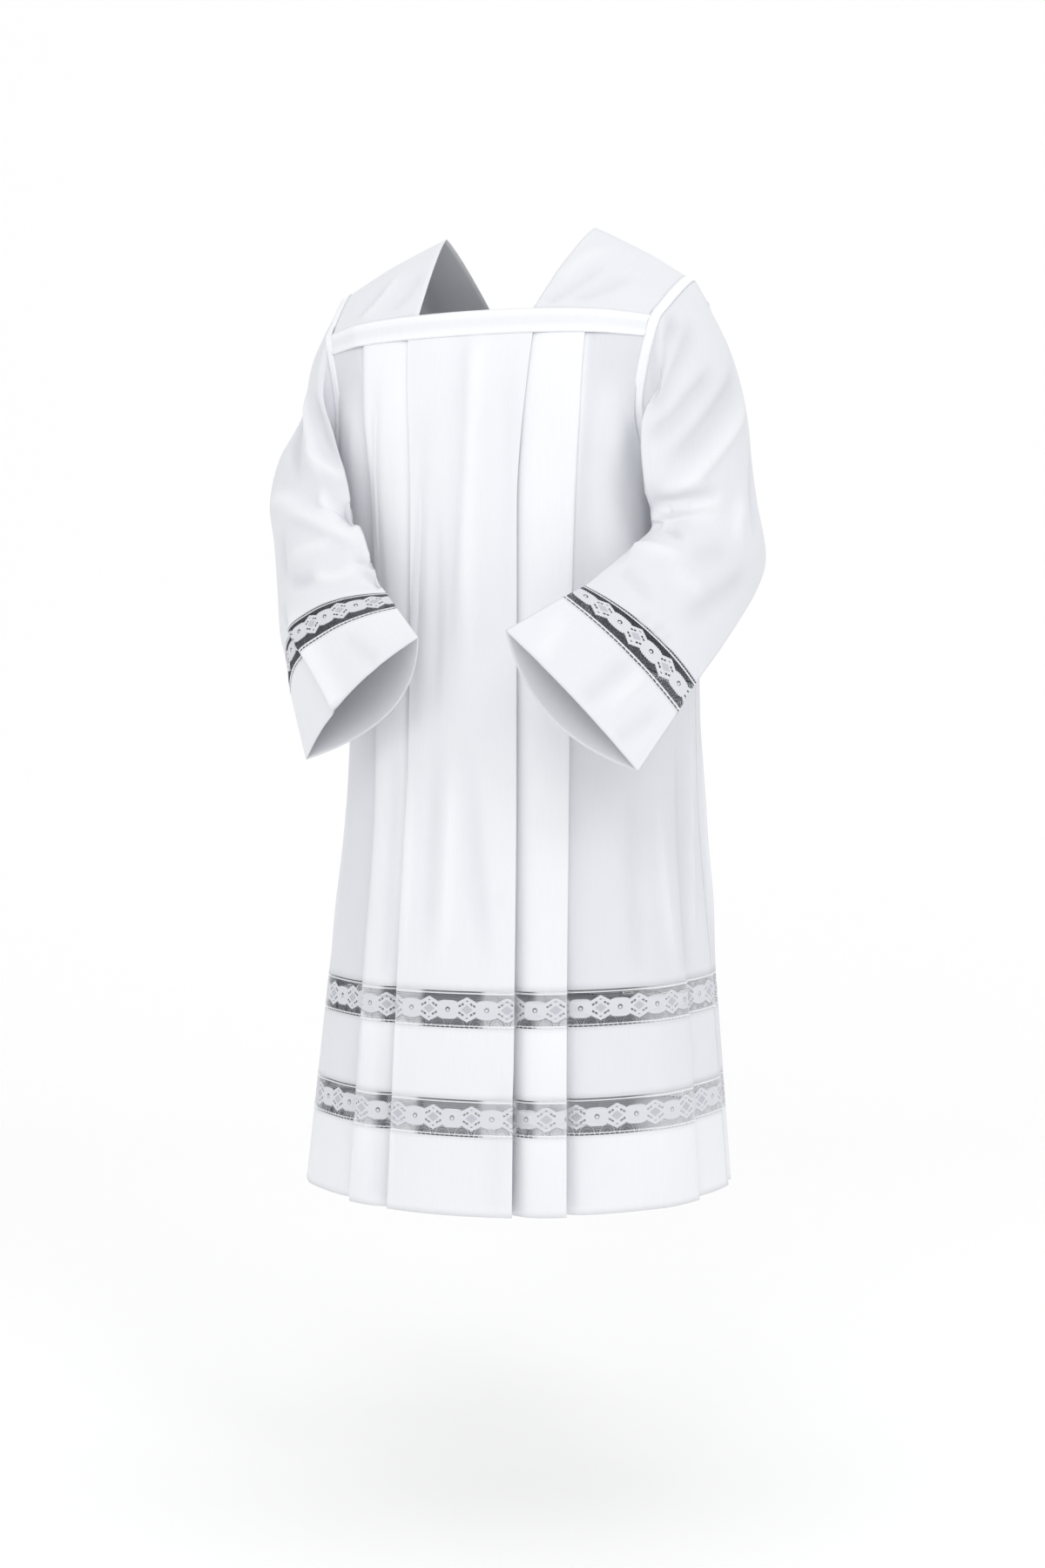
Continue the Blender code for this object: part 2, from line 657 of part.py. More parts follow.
def body_sheets():
    sheets = []
    for face in ("front", "back"):
        sheets.append(new_sheet(f"{face}_yoke_band", yoke_band(face)))
        sheets.append(new_sheet(f"{face}_panel", body_panel(face)))
        bands = (
            ("lace_upper", UPPER_LACE_TOP, UPPER_LACE_BOTTOM),
            ("strip", UPPER_LACE_BOTTOM, LOWER_LACE_TOP),
            ("lace_lower", LOWER_LACE_TOP, LOWER_LACE_BOTTOM),
            ("hem", LOWER_LACE_BOTTOM, HEM_Z),
        )
        for name, top, bottom in bands:
            lace = name.startswith("lace")
            cells = body_lace_cells() if lace else None
            colour = LACE_WHITE if lace else CLOTH_WHITE
            points = body_band(face, top, bottom)
            sheets.append(new_sheet(f"{face}_{name}", points, False, cells, colour))
    for sheet in sheets:
        if sheet["name"].startswith("back"):
            sheet["points"] = sheet["points"][:, ::-1]
    return sheets


def two_halves(tube):
    """A sleeve's outer half and the half by the body, seamed along the elbow and the crook."""
    count = tube.shape[1]
    rolled = np.roll(tube, count // 4, axis=1)
    wrapped = np.concatenate([rolled, rolled[:, :1]], axis=1)
    return ("front", wrapped[:, :count // 2 + 1]), ("back", wrapped[:, count // 2:])


def sleeve_sheets(side, sign, table, folds):
    rings = sleeve_rings(side, table, sign)
    to_cuff = len(rings) - 2
    to_lace = to_cuff - 1
    flip = slice(None, None, -1) if sign > 0 else slice(None)
    yoke = shoulder_yoke(side) * (sign, 1, 1)
    strip = np.array([armhole_loop(side), strip_loop(side)]) * (sign, 1, 1)
    sleeve = sleeve_grid(rings, 0, to_lace, to_lace * STEPS_PER_RING, folds)
    lace = sleeve_grid(rings, to_lace, to_cuff, 1)
    cuff = sleeve_grid(rings, to_cuff, to_cuff + 1, 2)
    kinds = {n: ("flower", "diamond")[n % 2] for n in range(len(rings[0]) // 2)}
    sheets = [
        new_sheet(f"shoulder_yoke_{side}", yoke[::-1] if sign > 0 else yoke),
        new_sheet(f"armhole_strip_{side}", strip[:, flip], True),
        new_sheet(f"cuff_{side}", cuff[:, flip], True),
    ]
    for name, part in two_halves(sleeve):
        sheets.append(new_sheet(f"sleeve_{side}_{name}", part[:, flip]))
    for name, part in two_halves(lace):
        sheets.append(
            new_sheet(f"sleeve_lace_{side}_{name}", part[:, flip], False, kinds, LACE_WHITE)
        )
    return sheets


def main():
    for old in list(bpy.data.objects):
        bpy.data.objects.remove(old, do_unlink=True)
    sheets = body_sheets()
    sheets += sleeve_sheets("left", 1, LEFT_SLEEVE, LEFT_FOLDS)
    sheets += sleeve_sheets("right", -1, RIGHT_SLEEVE, RIGHT_FOLDS)
    for sheet in sheets:
        sheet["normals"] = sheet_normals(sheet["points"], sheet["closed"])
    join_normals(sheets)
    for sheet in sheets:
        add_object(sheet)


main()
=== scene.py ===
"""A worn surplice: pleated body, square yoke, wide bent sleeves and lace insertions.

Metres, +Z up, -Y is the wearer's front and +X the wearer's left. Every piece of cloth is a
fine grid on the same named sizes as the solid it stands for, with its folds pressed in.
"""

import math

import bpy
import numpy as np
from mathutils.geometry import tessellate_polygon
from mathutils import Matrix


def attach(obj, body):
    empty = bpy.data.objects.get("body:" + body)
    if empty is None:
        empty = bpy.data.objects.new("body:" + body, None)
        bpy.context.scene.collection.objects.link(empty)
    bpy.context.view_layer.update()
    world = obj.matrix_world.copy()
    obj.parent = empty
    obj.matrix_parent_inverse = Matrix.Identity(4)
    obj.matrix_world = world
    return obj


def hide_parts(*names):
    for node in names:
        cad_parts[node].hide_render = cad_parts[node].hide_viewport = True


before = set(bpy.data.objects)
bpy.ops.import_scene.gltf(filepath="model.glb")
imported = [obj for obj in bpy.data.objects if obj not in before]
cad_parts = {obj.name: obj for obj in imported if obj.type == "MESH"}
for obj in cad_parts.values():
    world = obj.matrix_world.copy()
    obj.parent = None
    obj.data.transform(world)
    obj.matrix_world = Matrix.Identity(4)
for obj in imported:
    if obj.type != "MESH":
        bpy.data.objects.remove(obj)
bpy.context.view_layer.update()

# --- Sizes ---------------------------------------------------------------------------------

LAYER = 0.0014  # middle to middle of two layers in a pressed fold
CLOTH = 0.0007  # thickness of the shells
DOUBLED_CLOTH = 0.0011  # the same where a band or strip is sewn on double
SEWN_ON = 0.0007  # how far a strip lies above the seam that it covers

BAND_DEPTH = 0.027
FRONT_NECK_DROP = 0.120  # from the shoulder ridge at the neck to the band's top edge
BACK_NECK_DROP = 0.075
BAND_END_DROP = 0.010  # how much lower that edge is at BAND_END_X from the centre
BAND_END_X = 0.2
BAND_BOTTOM_SHARE = 0.6  # how much of that drop the band's lower edge has
BAND_STEPS = 56
BAND_RAISED = 0.0009  # how far the band lies above what it is sewn to
BAND_OVERLAP = 0.05  # how far it reaches past its seams, as a share of its depth
UNDERARM_Z = -0.345
HEM_Z = -1.143
HEM_BAND = 0.088
LACE_WIDTH = 0.041
STRIP_BETWEEN = 0.080
NECK_HALF_WIDTH_RIDGE = 0.0955
NECK_HALF_WIDTH_FRONT = 0.070
NECK_HALF_WIDTH_BACK = 0.075
SHOULDER_END = {"left": (0.208, 0.066), "right": (0.223, 0.060)}  # half width and drop
RIDGE_ROUNDNESS = 1.2
ARMHOLE_STRIP_WIDTH = 0.011
STRIP_OVERLAP = 0.12  # how far it reaches over the body, as a share of its width
# How far the strip leans in, and how that falls off in its lowest part, at the underarm
STRIP_LEAN = 0.60
UNDERARM_LEAN_FALL = 1.1
UNDERARM_FROM = -0.3

LOWER_LACE_BOTTOM = HEM_Z + HEM_BAND
LOWER_LACE_TOP = LOWER_LACE_BOTTOM + LACE_WIDTH
UPPER_LACE_BOTTOM = LOWER_LACE_TOP + STRIP_BETWEEN
UPPER_LACE_TOP = UPPER_LACE_BOTTOM + LACE_WIDTH

# The body tube: half width, front, back, where it is widest, and how square it is
BODY = {
    "z": (-1.143, -0.900, -0.665, -0.500, -0.345, -0.280, -0.200, -0.150, -0.100, -0.060),
    "half_width": (0.259, 0.235, 0.211, 0.209, 0.209, 0.212, 0.218, 0.222, 0.225, 0.226),
    "front_y": (-0.2205, -0.207, -0.193, -0.189, -0.185, -0.181, -0.173, -0.163, -0.143, -0.120),
    "back_y": (0.187, 0.186, 0.185, 0.175, 0.160, 0.152, 0.135, 0.124, 0.112, 0.100),
    "widest_y": (-0.004, 0.015, 0.035, 0.030, 0.020, 0.010, 0.002, 0.0, 0.0, 0.0),
    "squareness": (2.1, 2.15, 2.2, 2.25, 2.4, 2.6, 3.0, 3.4, 3.6, 3.6),
}
# The knife pleats: where the two folds lie from the centre, how far the front's folds have
# swung towards +X, the cloth tucked behind and its depth, then the soft fold near the side
# seam and how far the edge rises at the seam
PLEATS = {
    "z": (-1.143, -0.900, -0.630, -0.345, -0.150),
    "first_fold": (0.077, 0.073, 0.067, 0.066, 0.0765),
    "second_fold": (0.138, 0.132, 0.127, 0.131, 0.137),
    "swing": (-0.009, -0.007, -0.004, -0.004, -0.003),
    "tucked": (0.024, 0.025, 0.027, 0.029, 0.030),
    "depth": (0.034, 0.027, 0.018, 0.009, 0.004),
    "side_fold": (0.010, 0.008, 0.004, 0.0, 0.0),
    "side_rise": (0.013, 0.009, 0.004, 0.0, 0.0),
}
# How far the cloth beside each fold lies in, as shares of the pleat's and side fold's depth
PLEAT_PANEL = {"part": (0.0, 0.3, 0.6, 1.0), "share": (0.48, 0.12, 0.02, 0.0)}
SIDE_PANEL = {
    "part": (0.0, 0.125, 0.25, 0.40, 0.69, 0.745, 0.86, 1.0),
    "share": (0.56, 0.20, 0.05, 0.0, 0.0, 0.0, 0.0, 0.0),
    "fold": (0.0, 0.0, 0.0, 0.0, 0.0, 1.0, 0.55, 0.0),
}
LAYER_FADE = 5  # the layers of a fold lie flat together over a fifth of the panel beside it
# Where cloth lies behind the net its threads are drawn pale; elsewhere they carry painted shade of
# the dark seen through the net.
UNDER_FOLD = 0.041  # how far each pleat's hidden cloth reaches behind it
UNDER_FADE = 0.008  # over which width it stops showing through the net
LIP_REACH = 0.001  # how far past its line a fold's lip shows
# Round the side seam the other face's cloth shows behind the net: how far past the second
# fold that starts, over which width it grows, and how much of the net it covers at most
ROUND_THE_SIDE, ROUND_WIDTH, ROUND_COVER = 0.075, 0.040, 0.8
# Steps of the grid along each stretch of a pleated row
CENTRE_STEPS = 26
LIP_STEPS = 4
TUCK_STEPS = 6
PLEAT_STEPS = 18
SIDE_STEPS = 48
ROW_HEIGHT = 0.009
SECTION_STEPS = 90  # half the points of a half section of the body
SECTION_CROWDING = 1.5  # draws those points towards the centre and the side seam
TANGENT_REACH = 0.004  # how far either side of a point the body's direction is taken

ARMHOLE_FRONT = {
    "z": (-0.335, -0.312, -0.280, -0.235, -0.190, -0.153, -0.130),
    "y": (-0.038, -0.082, -0.108, -0.120, -0.121, -0.118, -0.112),
}
ARMHOLE_BACK = {
    "z": (-0.335, -0.310, -0.270, -0.220, -0.160, -0.112, -0.085),
    "y": (0.055, 0.080, 0.097, 0.102, 0.097, 0.085, 0.075),
}
ARMHOLE_SEAM_ROWS = 5  # the rows of those tables below the yoke band
NEAR_BAND_ROWS, UNDERARM_ROWS = 6, 6  # rows of a panel below its band, and at its underarm
SHOULDER_STEPS = (1.0, 0.78, 0.54, 0.30, 0.10)
FINE_SHOULDER_STEPS = tuple(np.linspace(1, 0.05, 20))
YOKE_CELLS = 5
FINE_YOKE_CELLS = 24

# The sleeves, ring by ring: each row is an oval through four points, in millimetres
SHOULDER_FULLNESS = 0.010
ROUND_SHARE = 0.4
LEFT_SLEEVE = (  # elbow side, face, crook side, body side
    ((228, 120, -275), (278, -30, -228), (206, -173, -258), (215, -15, -384)),
    ((268, 88, -345), (286, -80, -312), (210, -178, -322), (215, -25, -402)),
    ((296, 30, -395), (284, -95, -362), (210, -146, -367), (216, -35, -416)),
    ((298, -30, -442), (271, -145, -398), (193, -170, -397), (216, -75, -442)),
    ((287, -125, -503), (247, -182, -453), (171, -213, -428), (205, -152, -483)),
    ((274, -192, -548), (229, -224, -489), (162, -241, -443), (190, -198, -512)),
    ((261, -217, -580), (212, -251, -515), (150, -276, -457), (176, -227, -536)),
    ((231, -267, -645), (172, -304, -568), (106, -337, -495), (137, -283, -587)),
)
RIGHT_SLEEVE = (
    ((-238, 118, -270), (-274, -20, -212), (-170, -166, -257), (-215, -15, -382)),
    ((-266, 82, -330), (-284, -75, -270), (-148, -179, -312), (-220, -45, -394)),
    ((-295, 30, -380), (-280, -105, -318), (-136, -190, -350), (-228, -95, -398)),
    ((-292, -30, -418), (-246, -150, -358), (-118, -208, -370), (-200, -122, -412)),
    ((-263, -114, -483), (-200, -203, -438), (-84, -236, -430), (-158, -155, -469)),
    ((-243, -140, -520), (-182, -219, -466), (-72, -242, -446), (-137, -168, -497)),
    ((-228, -162, -556), (-159, -242, -499), (-46, -273, -465), (-114, -192, -523)),
    ((-190, -200, -633), (-106, -272, -561), (-1, -320, -500), (-71, -233, -579)),
)
RING_FINENESS = 8  # points of a sleeve ring for each point of the armhole seam
SLEEVE_STEPS = 14  # rows between two rings of the table
ELBOW_AT, LACE_FROM, CUFF_FROM = 3, 7, 8  # ring positions
# The deepest fold of each sleeve, which the solids have too
LEFT_FOLDS = (
    {"along": 3.9, "around": 0.17, "depth": 0.009, "half_along": 0.5, "half_around": 0.09},
)
RIGHT_FOLDS = (
    {"along": 4.5, "around": 0.16, "depth": 0.007, "half_along": 0.5, "half_around": 0.10},
)

# How doubled the cloth looks: 1 is doubled, 0 single, and below 0 painted shade where it hangs
# with nothing behind it. The centre, the pleats and the sides have one tone for the top and one
# for the bottom; the pleats' darker bottom tone is painted shade as well.
CENTRE_TONES, PLEAT_TONES, SIDE_TONES = (0.55, 0.50), (0.80, 0.55), (-0.20, -0.08)
TONES_FROM = -0.15  # the height where a panel's tones start to change
STRIP_TONE, HEM_TONE = 0.05, 0.55  # the least of each
YOKE_TONE, NECK_EDGE_TONE = 0.15, 0.8
BAND_TONES = (1.0, 1.0, 0.75, 0.45, 0.4, 0.45, 0.75, 1.0, 1.0)  # doubled at its edges
CUFF_TONES = {"left": 0.15, "right": 0.45}
SLEEVE_END_FALL = 0.2  # how much lower a sleeve's tone is just above its lace than at its cuff

# --- Soft folds ----------------------------------------------------------------------------

# Each fold: its path, then in millimetres how far it stands out (or lies in) and its width to
# the left and to the right of the path, then how deep the cloth dips beyond its steep side as
# a share of its height, and over which shares of the path it starts and ends.
FOLD_STEPS = 8  # points of the smooth line between two points of a path
# Painted highlight and painted shade of the soft folds: how much paler the cloth is drawn on a
# ridge and darker in a trough, for each metre of height, and the height past which it doesn't grow
FOLD_PAINTED_LIGHT, FOLD_LIMIT = 90, 0.0055

# On the body a path runs through (distance from the centre, height), in millimetres
FRONT_FOLDS = (
    (((-10, -150), (-8, -280), (-14, -400), (-18, -540)), -3.4, 8, 14, 0, 0.1, 0.4),
    (((10, -150), (4, -280), (2, -420), (4, -600)), 3, 10, 16, 0, 0.1, 0.4),
    (((-52, -220), (-58, -340), (-64, -500), (-66, -620)), -2.8, 10, 6, 0, 0.4, 0.4),
    (((-36, -300), (-33, -460), (-36, -620)), -2.5, 7, 9, 0, 0.4, 0.4),
    (((44, -160), (50, -300), (44, -520)), -1.8, 12, 10, 0, 0.2, 0.5),
    (((-118, -170), (-126, -320), (-116, -440), (-100, -560)), -2.5, 8, 10, 0, 0.2, 0.4),
    (((166, -200), (158, -280), (182, -330), (176, -440)), -4.1, 16, 20, 0, 0.4, 0.5),
    (((200, -360), (196, -460), (204, -600)), 3.4, 14, 18, 0, 0.4, 0.4),
    (((-170, -200), (-176, -340), (-168, -500)), -2.8, 10, 12, 0, 0.3, 0.5),
    (((-34, -580), (-40, -740), (-42, -880)), -3.9, 12, 9, 0, 0.4, 0.35),
    (((8, -600), (14, -720), (26, -820), (34, -890)), -4.1, 10, 14, 0, 0.4, 0.35),
    (((-14, -600), (-16, -780), (-24, -890)), 3, 9, 9, 0, 0.4, 0.35),
    (((-66, -620), (-68, -760), (-72, -900)), 2.8, 6, 9, 0, 0.4, 0.4),
    (((330, -560), (326, -700), (318, -880)), 4.8, 5, 6, 0, 0.4, 0.35),
    (((240, -640), (252, -780), (270, -900)), 3.9, 9, 7, 0, 0.5, 0.3),
    (((200, -620), (206, -760), (214, -900)), -3.2, 12, 12, 0, 0.5, 0.3),
    (((-230, -560), (-236, -740), (-240, -900)), 3.9, 8, 10, 0, 0.5, 0.3),
    (((60, -970), (50, -1050), (46, -1140)), -1.8, 14, 14, 0, 0.3, 0.05),
    # Two broad bulges beside the armholes; their painted highlight lightens the shade next to the
    # sleeves.
    (((168, -180), (172, -280), (180, -360), (184, -470)), 15, 28, 28, 0, 0.35, 0.4),
    (((-172, -180), (-176, -280), (-184, -360), (-188, -470)), 15, 28, 28, 0, 0.35, 0.4),
    (((-94, -560), (-98, -720), (-100, -900)), -4, 12, 12, 0, 0.4, 0.1),
    (((-100, -900), (-102, -1000), (-104, -1140)), -3, 12, 12, 0, 0.1, 0.05),
    (((290, -560), (296, -720), (300, -900)), -4, 14, 14, 0, 0.4, 0.1),
)
BACK_FOLDS = (
    (((-30, -130), (-36, -340), (-30, -600)), -4.5, 10, 14, 0, 0.15, 0.4),
    (((12, -130), (16, -360), (8, -720)), 4.2, 12, 14, 0, 0.15, 0.4),
    (((50, -150), (44, -400), (52, -660)), -3.6, 12, 9, 0, 0.2, 0.4),
    (((-112, -150), (-118, -360), (-104, -580)), -3.4, 9, 10, 0, 0.2, 0.4),
    (((108, -160), (114, -400), (102, -640)), 3.1, 9, 10, 0, 0.2, 0.4),
    (((176, -180), (184, -340), (178, -560)), -5, 16, 18, 0, 0.3, 0.5),
    (((-180, -200), (-172, -380), (-184, -620)), 4.8, 14, 16, 0, 0.3, 0.5),
    (((-20, -600), (-28, -760), (-24, -900)), 4.2, 10, 14, 0, 0.4, 0.3),
    (((40, -620), (36, -780), (42, -910)), -4.8, 12, 10, 0, 0.4, 0.3),
    (((236, -580), (246, -740), (260, -900)), 5.6, 8, 10, 0, 0.4, 0.35),
    (((-226, -600), (-240, -760), (-256, -910)), 5, 9, 7, 0, 0.4, 0.35),
    (((-40, -980), (-34, -1060), (-30, -1140)), -2.5, 14, 14, 0, 0.3, 0.05),
)
# On a shoulder yoke: (share from the front band to the back, share from neck to armhole)
LEFT_YOKE_FOLDS = (
    (((0.3, 0.36), (0.16, 0.26), (0.02, 0.1)), -3, 4, 10, 0, 0.3, 0.1),
    (((0.3, 0.62), (0.16, 0.5), (0.04, 0.3)), -3.4, 8, 12, 0, 0.4, 0.2),
    (((0.44, 0.3), (0.3, 0.16), (0.12, 0.04)), 3, 8, 10, 0, 0.4, 0.3),
    (((0.62, 0.4), (0.8, 0.34), (0.97, 0.46)), -3.8, 10, 12, 0, 0.4, 0.2),
)
RIGHT_YOKE_FOLDS = (
    (((0.36, 0.34), (0.2, 0.4), (0.03, 0.56)), 3.8, 8, 6, 0, 0.4, 0.1),
    (((0.34, 0.46), (0.18, 0.54), (0.04, 0.7)), -3.8, 8, 10, 0, 0.4, 0.2),
    (((0.3, 0.1), (0.16, 0.16), (0.03, 0.3)), -3, 6, 10, 0, 0.3, 0.2),
    (((0.62, 0.56), (0.8, 0.5), (0.97, 0.62)), 3.8, 10, 12, 0, 0.4, 0.2),
)
# On a sleeve: (ring position, share of the way round from its outer face)
LEFT_SLEEVE_FOLDS = (
    (((4.05, 0.27), (3.86, 0.235), (3.76, 0.208), (3.74, 0.156), (3.72, 0.104), (3.62, 0.058),
      (3.42, 0.034), (3.26, 0.03)), 7, 6, 18, 0.6, 0.15, 0.3),
    (((3.42, 0.235), (3.31, 0.156), (3.25, 0.104), (3.19, 0.062)), 5.2, 10, 10, 0, 0.3, 0.4),
    (((0.3, 0.13), (0.56, 0.205), (0.8, 0.24), (1.62, 0.255)), -4.9, 9, 7, 0, 0.2, 0.2),
    (((0.5, 0.08), (0.81, 0.146), (1.19, 0.188), (1.62, 0.208), (2.05, 0.245)),
     -4.9, 10, 7, 0, 0.3, 0.2),
    (((1.3, 0.06), (1.81, 0.135), (2.06, 0.167), (2.25, 0.208), (2.42, 0.248)),
     -6.1, 12, 8, 0, 0.3, 0.2),
    (((1.1, 0.94), (1.88, 0.045), (2.44, 0.115), (2.75, 0.167), (3.12, 0.215)),
     -7.2, 14, 10, 0, 0.3, 0.3),
    (((1.6, 0.935), (2.31, 0.01), (2.6, 0.046), (3, 0.094), (3.31, 0.146), (3.46, 0.195)),
     4.9, 6, 12, 0.4, 0.3, 0.25),
    (((2.1, 0.895), (2.81, 0.912), (3.69, 0.9), (4.4, 0.88)), -4.9, 12, 10, 0, 0.4, 0.4),
    (((5, 0.245), (5.06, 0.198), (5.19, 0.135), (5.31, 0.052), (5.4, 0)),
     4.4, 7, 14, 0.4, 0.1, 0.5),
    (((4.25, 0.185), (4.6, 0.125), (5, 0.065)), -4.6, 6, 8, 0, 0.3, 0.4),
    (((5.3, 0.04), (5.08, 0.97), (4.75, 0.922)), -3.4, 14, 12, 0, 0.4, 0.4),
    (((4.75, 0.823), (5.31, 0.854), (5.88, 0.906), (6.5, 0.942)), -4.6, 14, 14, 0, 0.3, 0.3),
    (((5.7, 0.21), (6.12, 0.104), (6.45, 0.03)), -3, 8, 7, 0, 0.2, 0.4),
    (((5.6, 0.09), (5.69, 0.99), (5.8, 0.89)), 3, 12, 12, 0, 0.4, 0.4),
    (((4.75, 0.896), (4, 0.965), (3.12, 0.955)), 4.1, 12, 12, 0, 0.4, 0.4),
    (((0.4, 0.84), (1.6, 0.8), (3, 0.79)), -6.4, 12, 14, 0, 0.2, 0.5),
    (((1.2, 0.72), (2.6, 0.7), (3.8, 0.74)), 5.8, 12, 14, 0, 0.4, 0.4),
    (((4.1, 0.33), (4.25, 0.42), (4.3, 0.52)), 7.2, 12, 4, 0.6, 0.1, 0.5),
    (((5, 0.7), (5.8, 0.66), (6.7, 0.68)), -5.8, 12, 12, 0, 0.4, 0.3),
    (((5.2, 0.36), (5.9, 0.4), (6.8, 0.42)), 4.9, 10, 12, 0, 0.4, 0.3),
    (((6.5, -0.035), (6.75, -0.03), (7.05, -0.028)), -2.4, 6, 6, 0, 0.6, 0.1),
    (((6.6, -0.075), (6.8, -0.07), (7.05, -0.066)), -2, 6, 6, 0, 0.6, 0.1),
    (((6.55, 0.02), (6.75, 0.022), (7.05, 0.02)), -2, 6, 6, 0, 0.6, 0.1),
)
LEFT_CUFF_FOLDS = (
    (((7.9, -0.034), (8.3, -0.03), (8.98, -0.022)), -3.4, 8, 12, 0, 0.3, 0.2),
    (((7.9, -0.085), (8.3, -0.08), (8.8, -0.07)), 3, 8, 9, 0, 0.3, 0.4),
    (((8.05, -0.2), (8.5, -0.175), (8.98, -0.14)), -3.2, 8, 12, 0, 0.4, 0.2),
    (((8.1, 0.2), (8.5, 0.16), (8.98, 0.11)), 3, 12, 14, 0, 0.4, 0.2),
)
RIGHT_SLEEVE_FOLDS = (
    (((4.6, 0.02), (4.78, 0.06), (4.94, 0.104), (5.12, 0.15), (5.25, 0.198), (5.31, 0.24),
      (5.34, 0.28)), 4.8, 18, 7, 0.6, 0.35, 0.3),
    (((4, 0.985), (4.31, 0.06), (4.5, 0.125)), 4.9, 12, 10, 0, 0.4, 0.4),
    (((3.4, 0.185), (3.8, 0.186), (4.38, 0.19), (4.95, 0.2)), 6.4, 6, 8, 0, 0.35, 0.15),
    (((3.69, 0.232), (4.19, 0.234), (4.94, 0.242)), -6, 10, 10, 0, 0.3, 0.2),
    (((2.5, 0.15), (2.75, 0.18), (2.88, 0.21), (2.98, 0.25)), 5.8, 5.5, 10, 0.4, 0.35, 0.3),
    (((1.3, 0.105), (1.9, 0.13), (2.5, 0.165), (3, 0.18), (3.5, 0.195)), 6.4, 8, 9, 0, 0.3, 0.3),
    (((1.5, 0.045), (1.94, 0.073), (2.62, 0.1), (3.44, 0.125), (3.9, 0.12)),
     -6.7, 10, 9, 0, 0.3, 0.3),
    (((1.3, 0.165), (1.75, 0.195), (2.2, 0.215), (2.69, 0.24)), -5.2, 7, 6, 0, 0.3, 0.3),
    (((5.5, 0.98), (5.5, 0.062), (5.38, 0.175)), 4.9, 9, 8, 0, 0.4, 0.3),
    (((5.66, 0.955), (5.86, 0.012), (5.9, 0.104)), -5.2, 9, 9, 0, 0.4, 0.4),
    (((5.75, 0.052), (5.96, 0.125), (5.72, 0.215)), 4.9, 7, 8, 0, 0.4, 0.2),
    (((5.6, 0.19), (5.66, 0.225), (5.7, 0.26)), -4.3, 5, 4, 0, 0.4, 0.1),
    (((5.78, 0.205), (6.05, 0.235), (6.44, 0.255)), -4.9, 6, 5, 0, 0.3, 0.2),
    (((5, 0.02), (5.38, 0.965), (5.81, 0.955)), -5.2, 10, 12, 0, 0.4, 0.4),
    (((5.94, 0.906), (6.5, 0.896), (7, 0.905)), -4.9, 9, 10, 0, 0.4, 0.2),
    (((0.4, 0.86), (1.6, 0.82), (3, 0.8)), -6.4, 12, 14, 0, 0.2, 0.5),
    (((1.2, 0.74), (2.6, 0.71), (3.9, 0.76)), 5.8, 12, 14, 0, 0.4, 0.4),
    (((5.34, 0.3), (5.25, 0.42), (5.1, 0.52)), 7.2, 4, 12, 0.6, 0.1, 0.5),
    (((5, 0.7), (5.8, 0.66), (6.7, 0.7)), -5.8, 12, 12, 0, 0.4, 0.3),
)
RIGHT_CUFF_FOLDS = (
    (((6.5, -0.13), (7, -0.085), (7.7, -0.06), (8.3, -0.045), (9.02, -0.05)),
     6.2, 22, 6, 0.5, 0.3, 0.02),
    (((8.1, 0.06), (8.5, 0.09), (8.98, 0.12)), -2.6, 12, 10, 0, 0.4, 0.2),
)


def read(table, column, at, key="z"):
    """A column of a table at any height, on a smooth line through its rows."""
    xs, ys = np.array(table[key], float), np.array(table[column], float)
    at = np.clip(at, xs[0], xs[-1])
    i = np.clip(np.searchsorted(xs, at) - 1, 0, len(xs) - 2)
    rises = np.diff(ys) / np.diff(xs)
    rises = np.concatenate([rises[:1], rises, rises[-1:]])
    products = rises[:-1] * rises[1:]
    sums = np.where(products > 0, rises[:-1] + rises[1:], 1.0)
    slopes = np.where(products > 0, 2 * products / sums, 0.0)
    width = xs[i + 1] - xs[i]
    t = (at - xs[i]) / width
    start = ys[i] * (2 * t**3 - 3 * t**2 + 1) + slopes[i] * width * (t**3 - 2 * t**2 + t)
    end = ys[i + 1] * (3 * t**2 - 2 * t**3) + slopes[i + 1] * width * (t**3 - t**2)
    return start + end


def unit(vectors):
    return vectors / np.maximum(np.linalg.norm(vectors, axis=-1, keepdims=True), 1e-12)


# --- The body ------------------------------------------------------------------------------


def body_line(z, face):
    """Half of the body's section at a height: distances from the centre line, and x and y."""
    half_width = read(BODY, "half_width", z)
    widest = read(BODY, "widest_y", z)
    reach = read(BODY, "front_y" if face == "front" else "back_y", z) - widest
    power = 2 / read(BODY, "squareness", z)
    turn = np.linspace(0, 1, 2 * SECTION_STEPS + 1) ** SECTION_CROWDING * math.pi / 2
    halves = (turn[:SECTION_STEPS], math.pi / 2 - turn[:SECTION_STEPS + 1])
    turn = np.unique(np.round(np.concatenate(halves), 9))
    x = half_width * np.sin(turn) ** power
    y = widest + reach * np.maximum(np.cos(turn), 0) ** power
    along = np.concatenate([[0], np.cumsum(np.hypot(np.diff(x), np.diff(y)))])
    return along, x, y


def on_body(distance, inset, z, face):
    """Points of the body at distances from the centre line, moved in by inset."""
    distance, inset, z = np.broadcast_arrays(np.asarray(distance, float), inset, z)
    points = np.zeros((*distance.shape, 3))
    out = -1.0 if face == "front" else 1.0
    for height in np.unique(z):
        at = z == height
        along, x, y = body_line(height, face)
        ahead = np.minimum(distance[at] + TANGENT_REACH, along[-1])
        behind = ahead - 2 * TANGENT_REACH
        across = np.interp(ahead, along, x) - np.sign(behind) * np.interp(abs(behind), along, x)
        down = np.interp(ahead, along, y) - np.interp(abs(behind), along, y)
        normal = unit(np.stack([-out * down, out * across], axis=-1))
        points[at, 0] = np.interp(distance[at], along, x) - inset[at] * normal[:, 0]
        points[at, 1] = np.interp(distance[at], along, y) - inset[at] * normal[:, 1]
        points[at, 2] = height
    return points


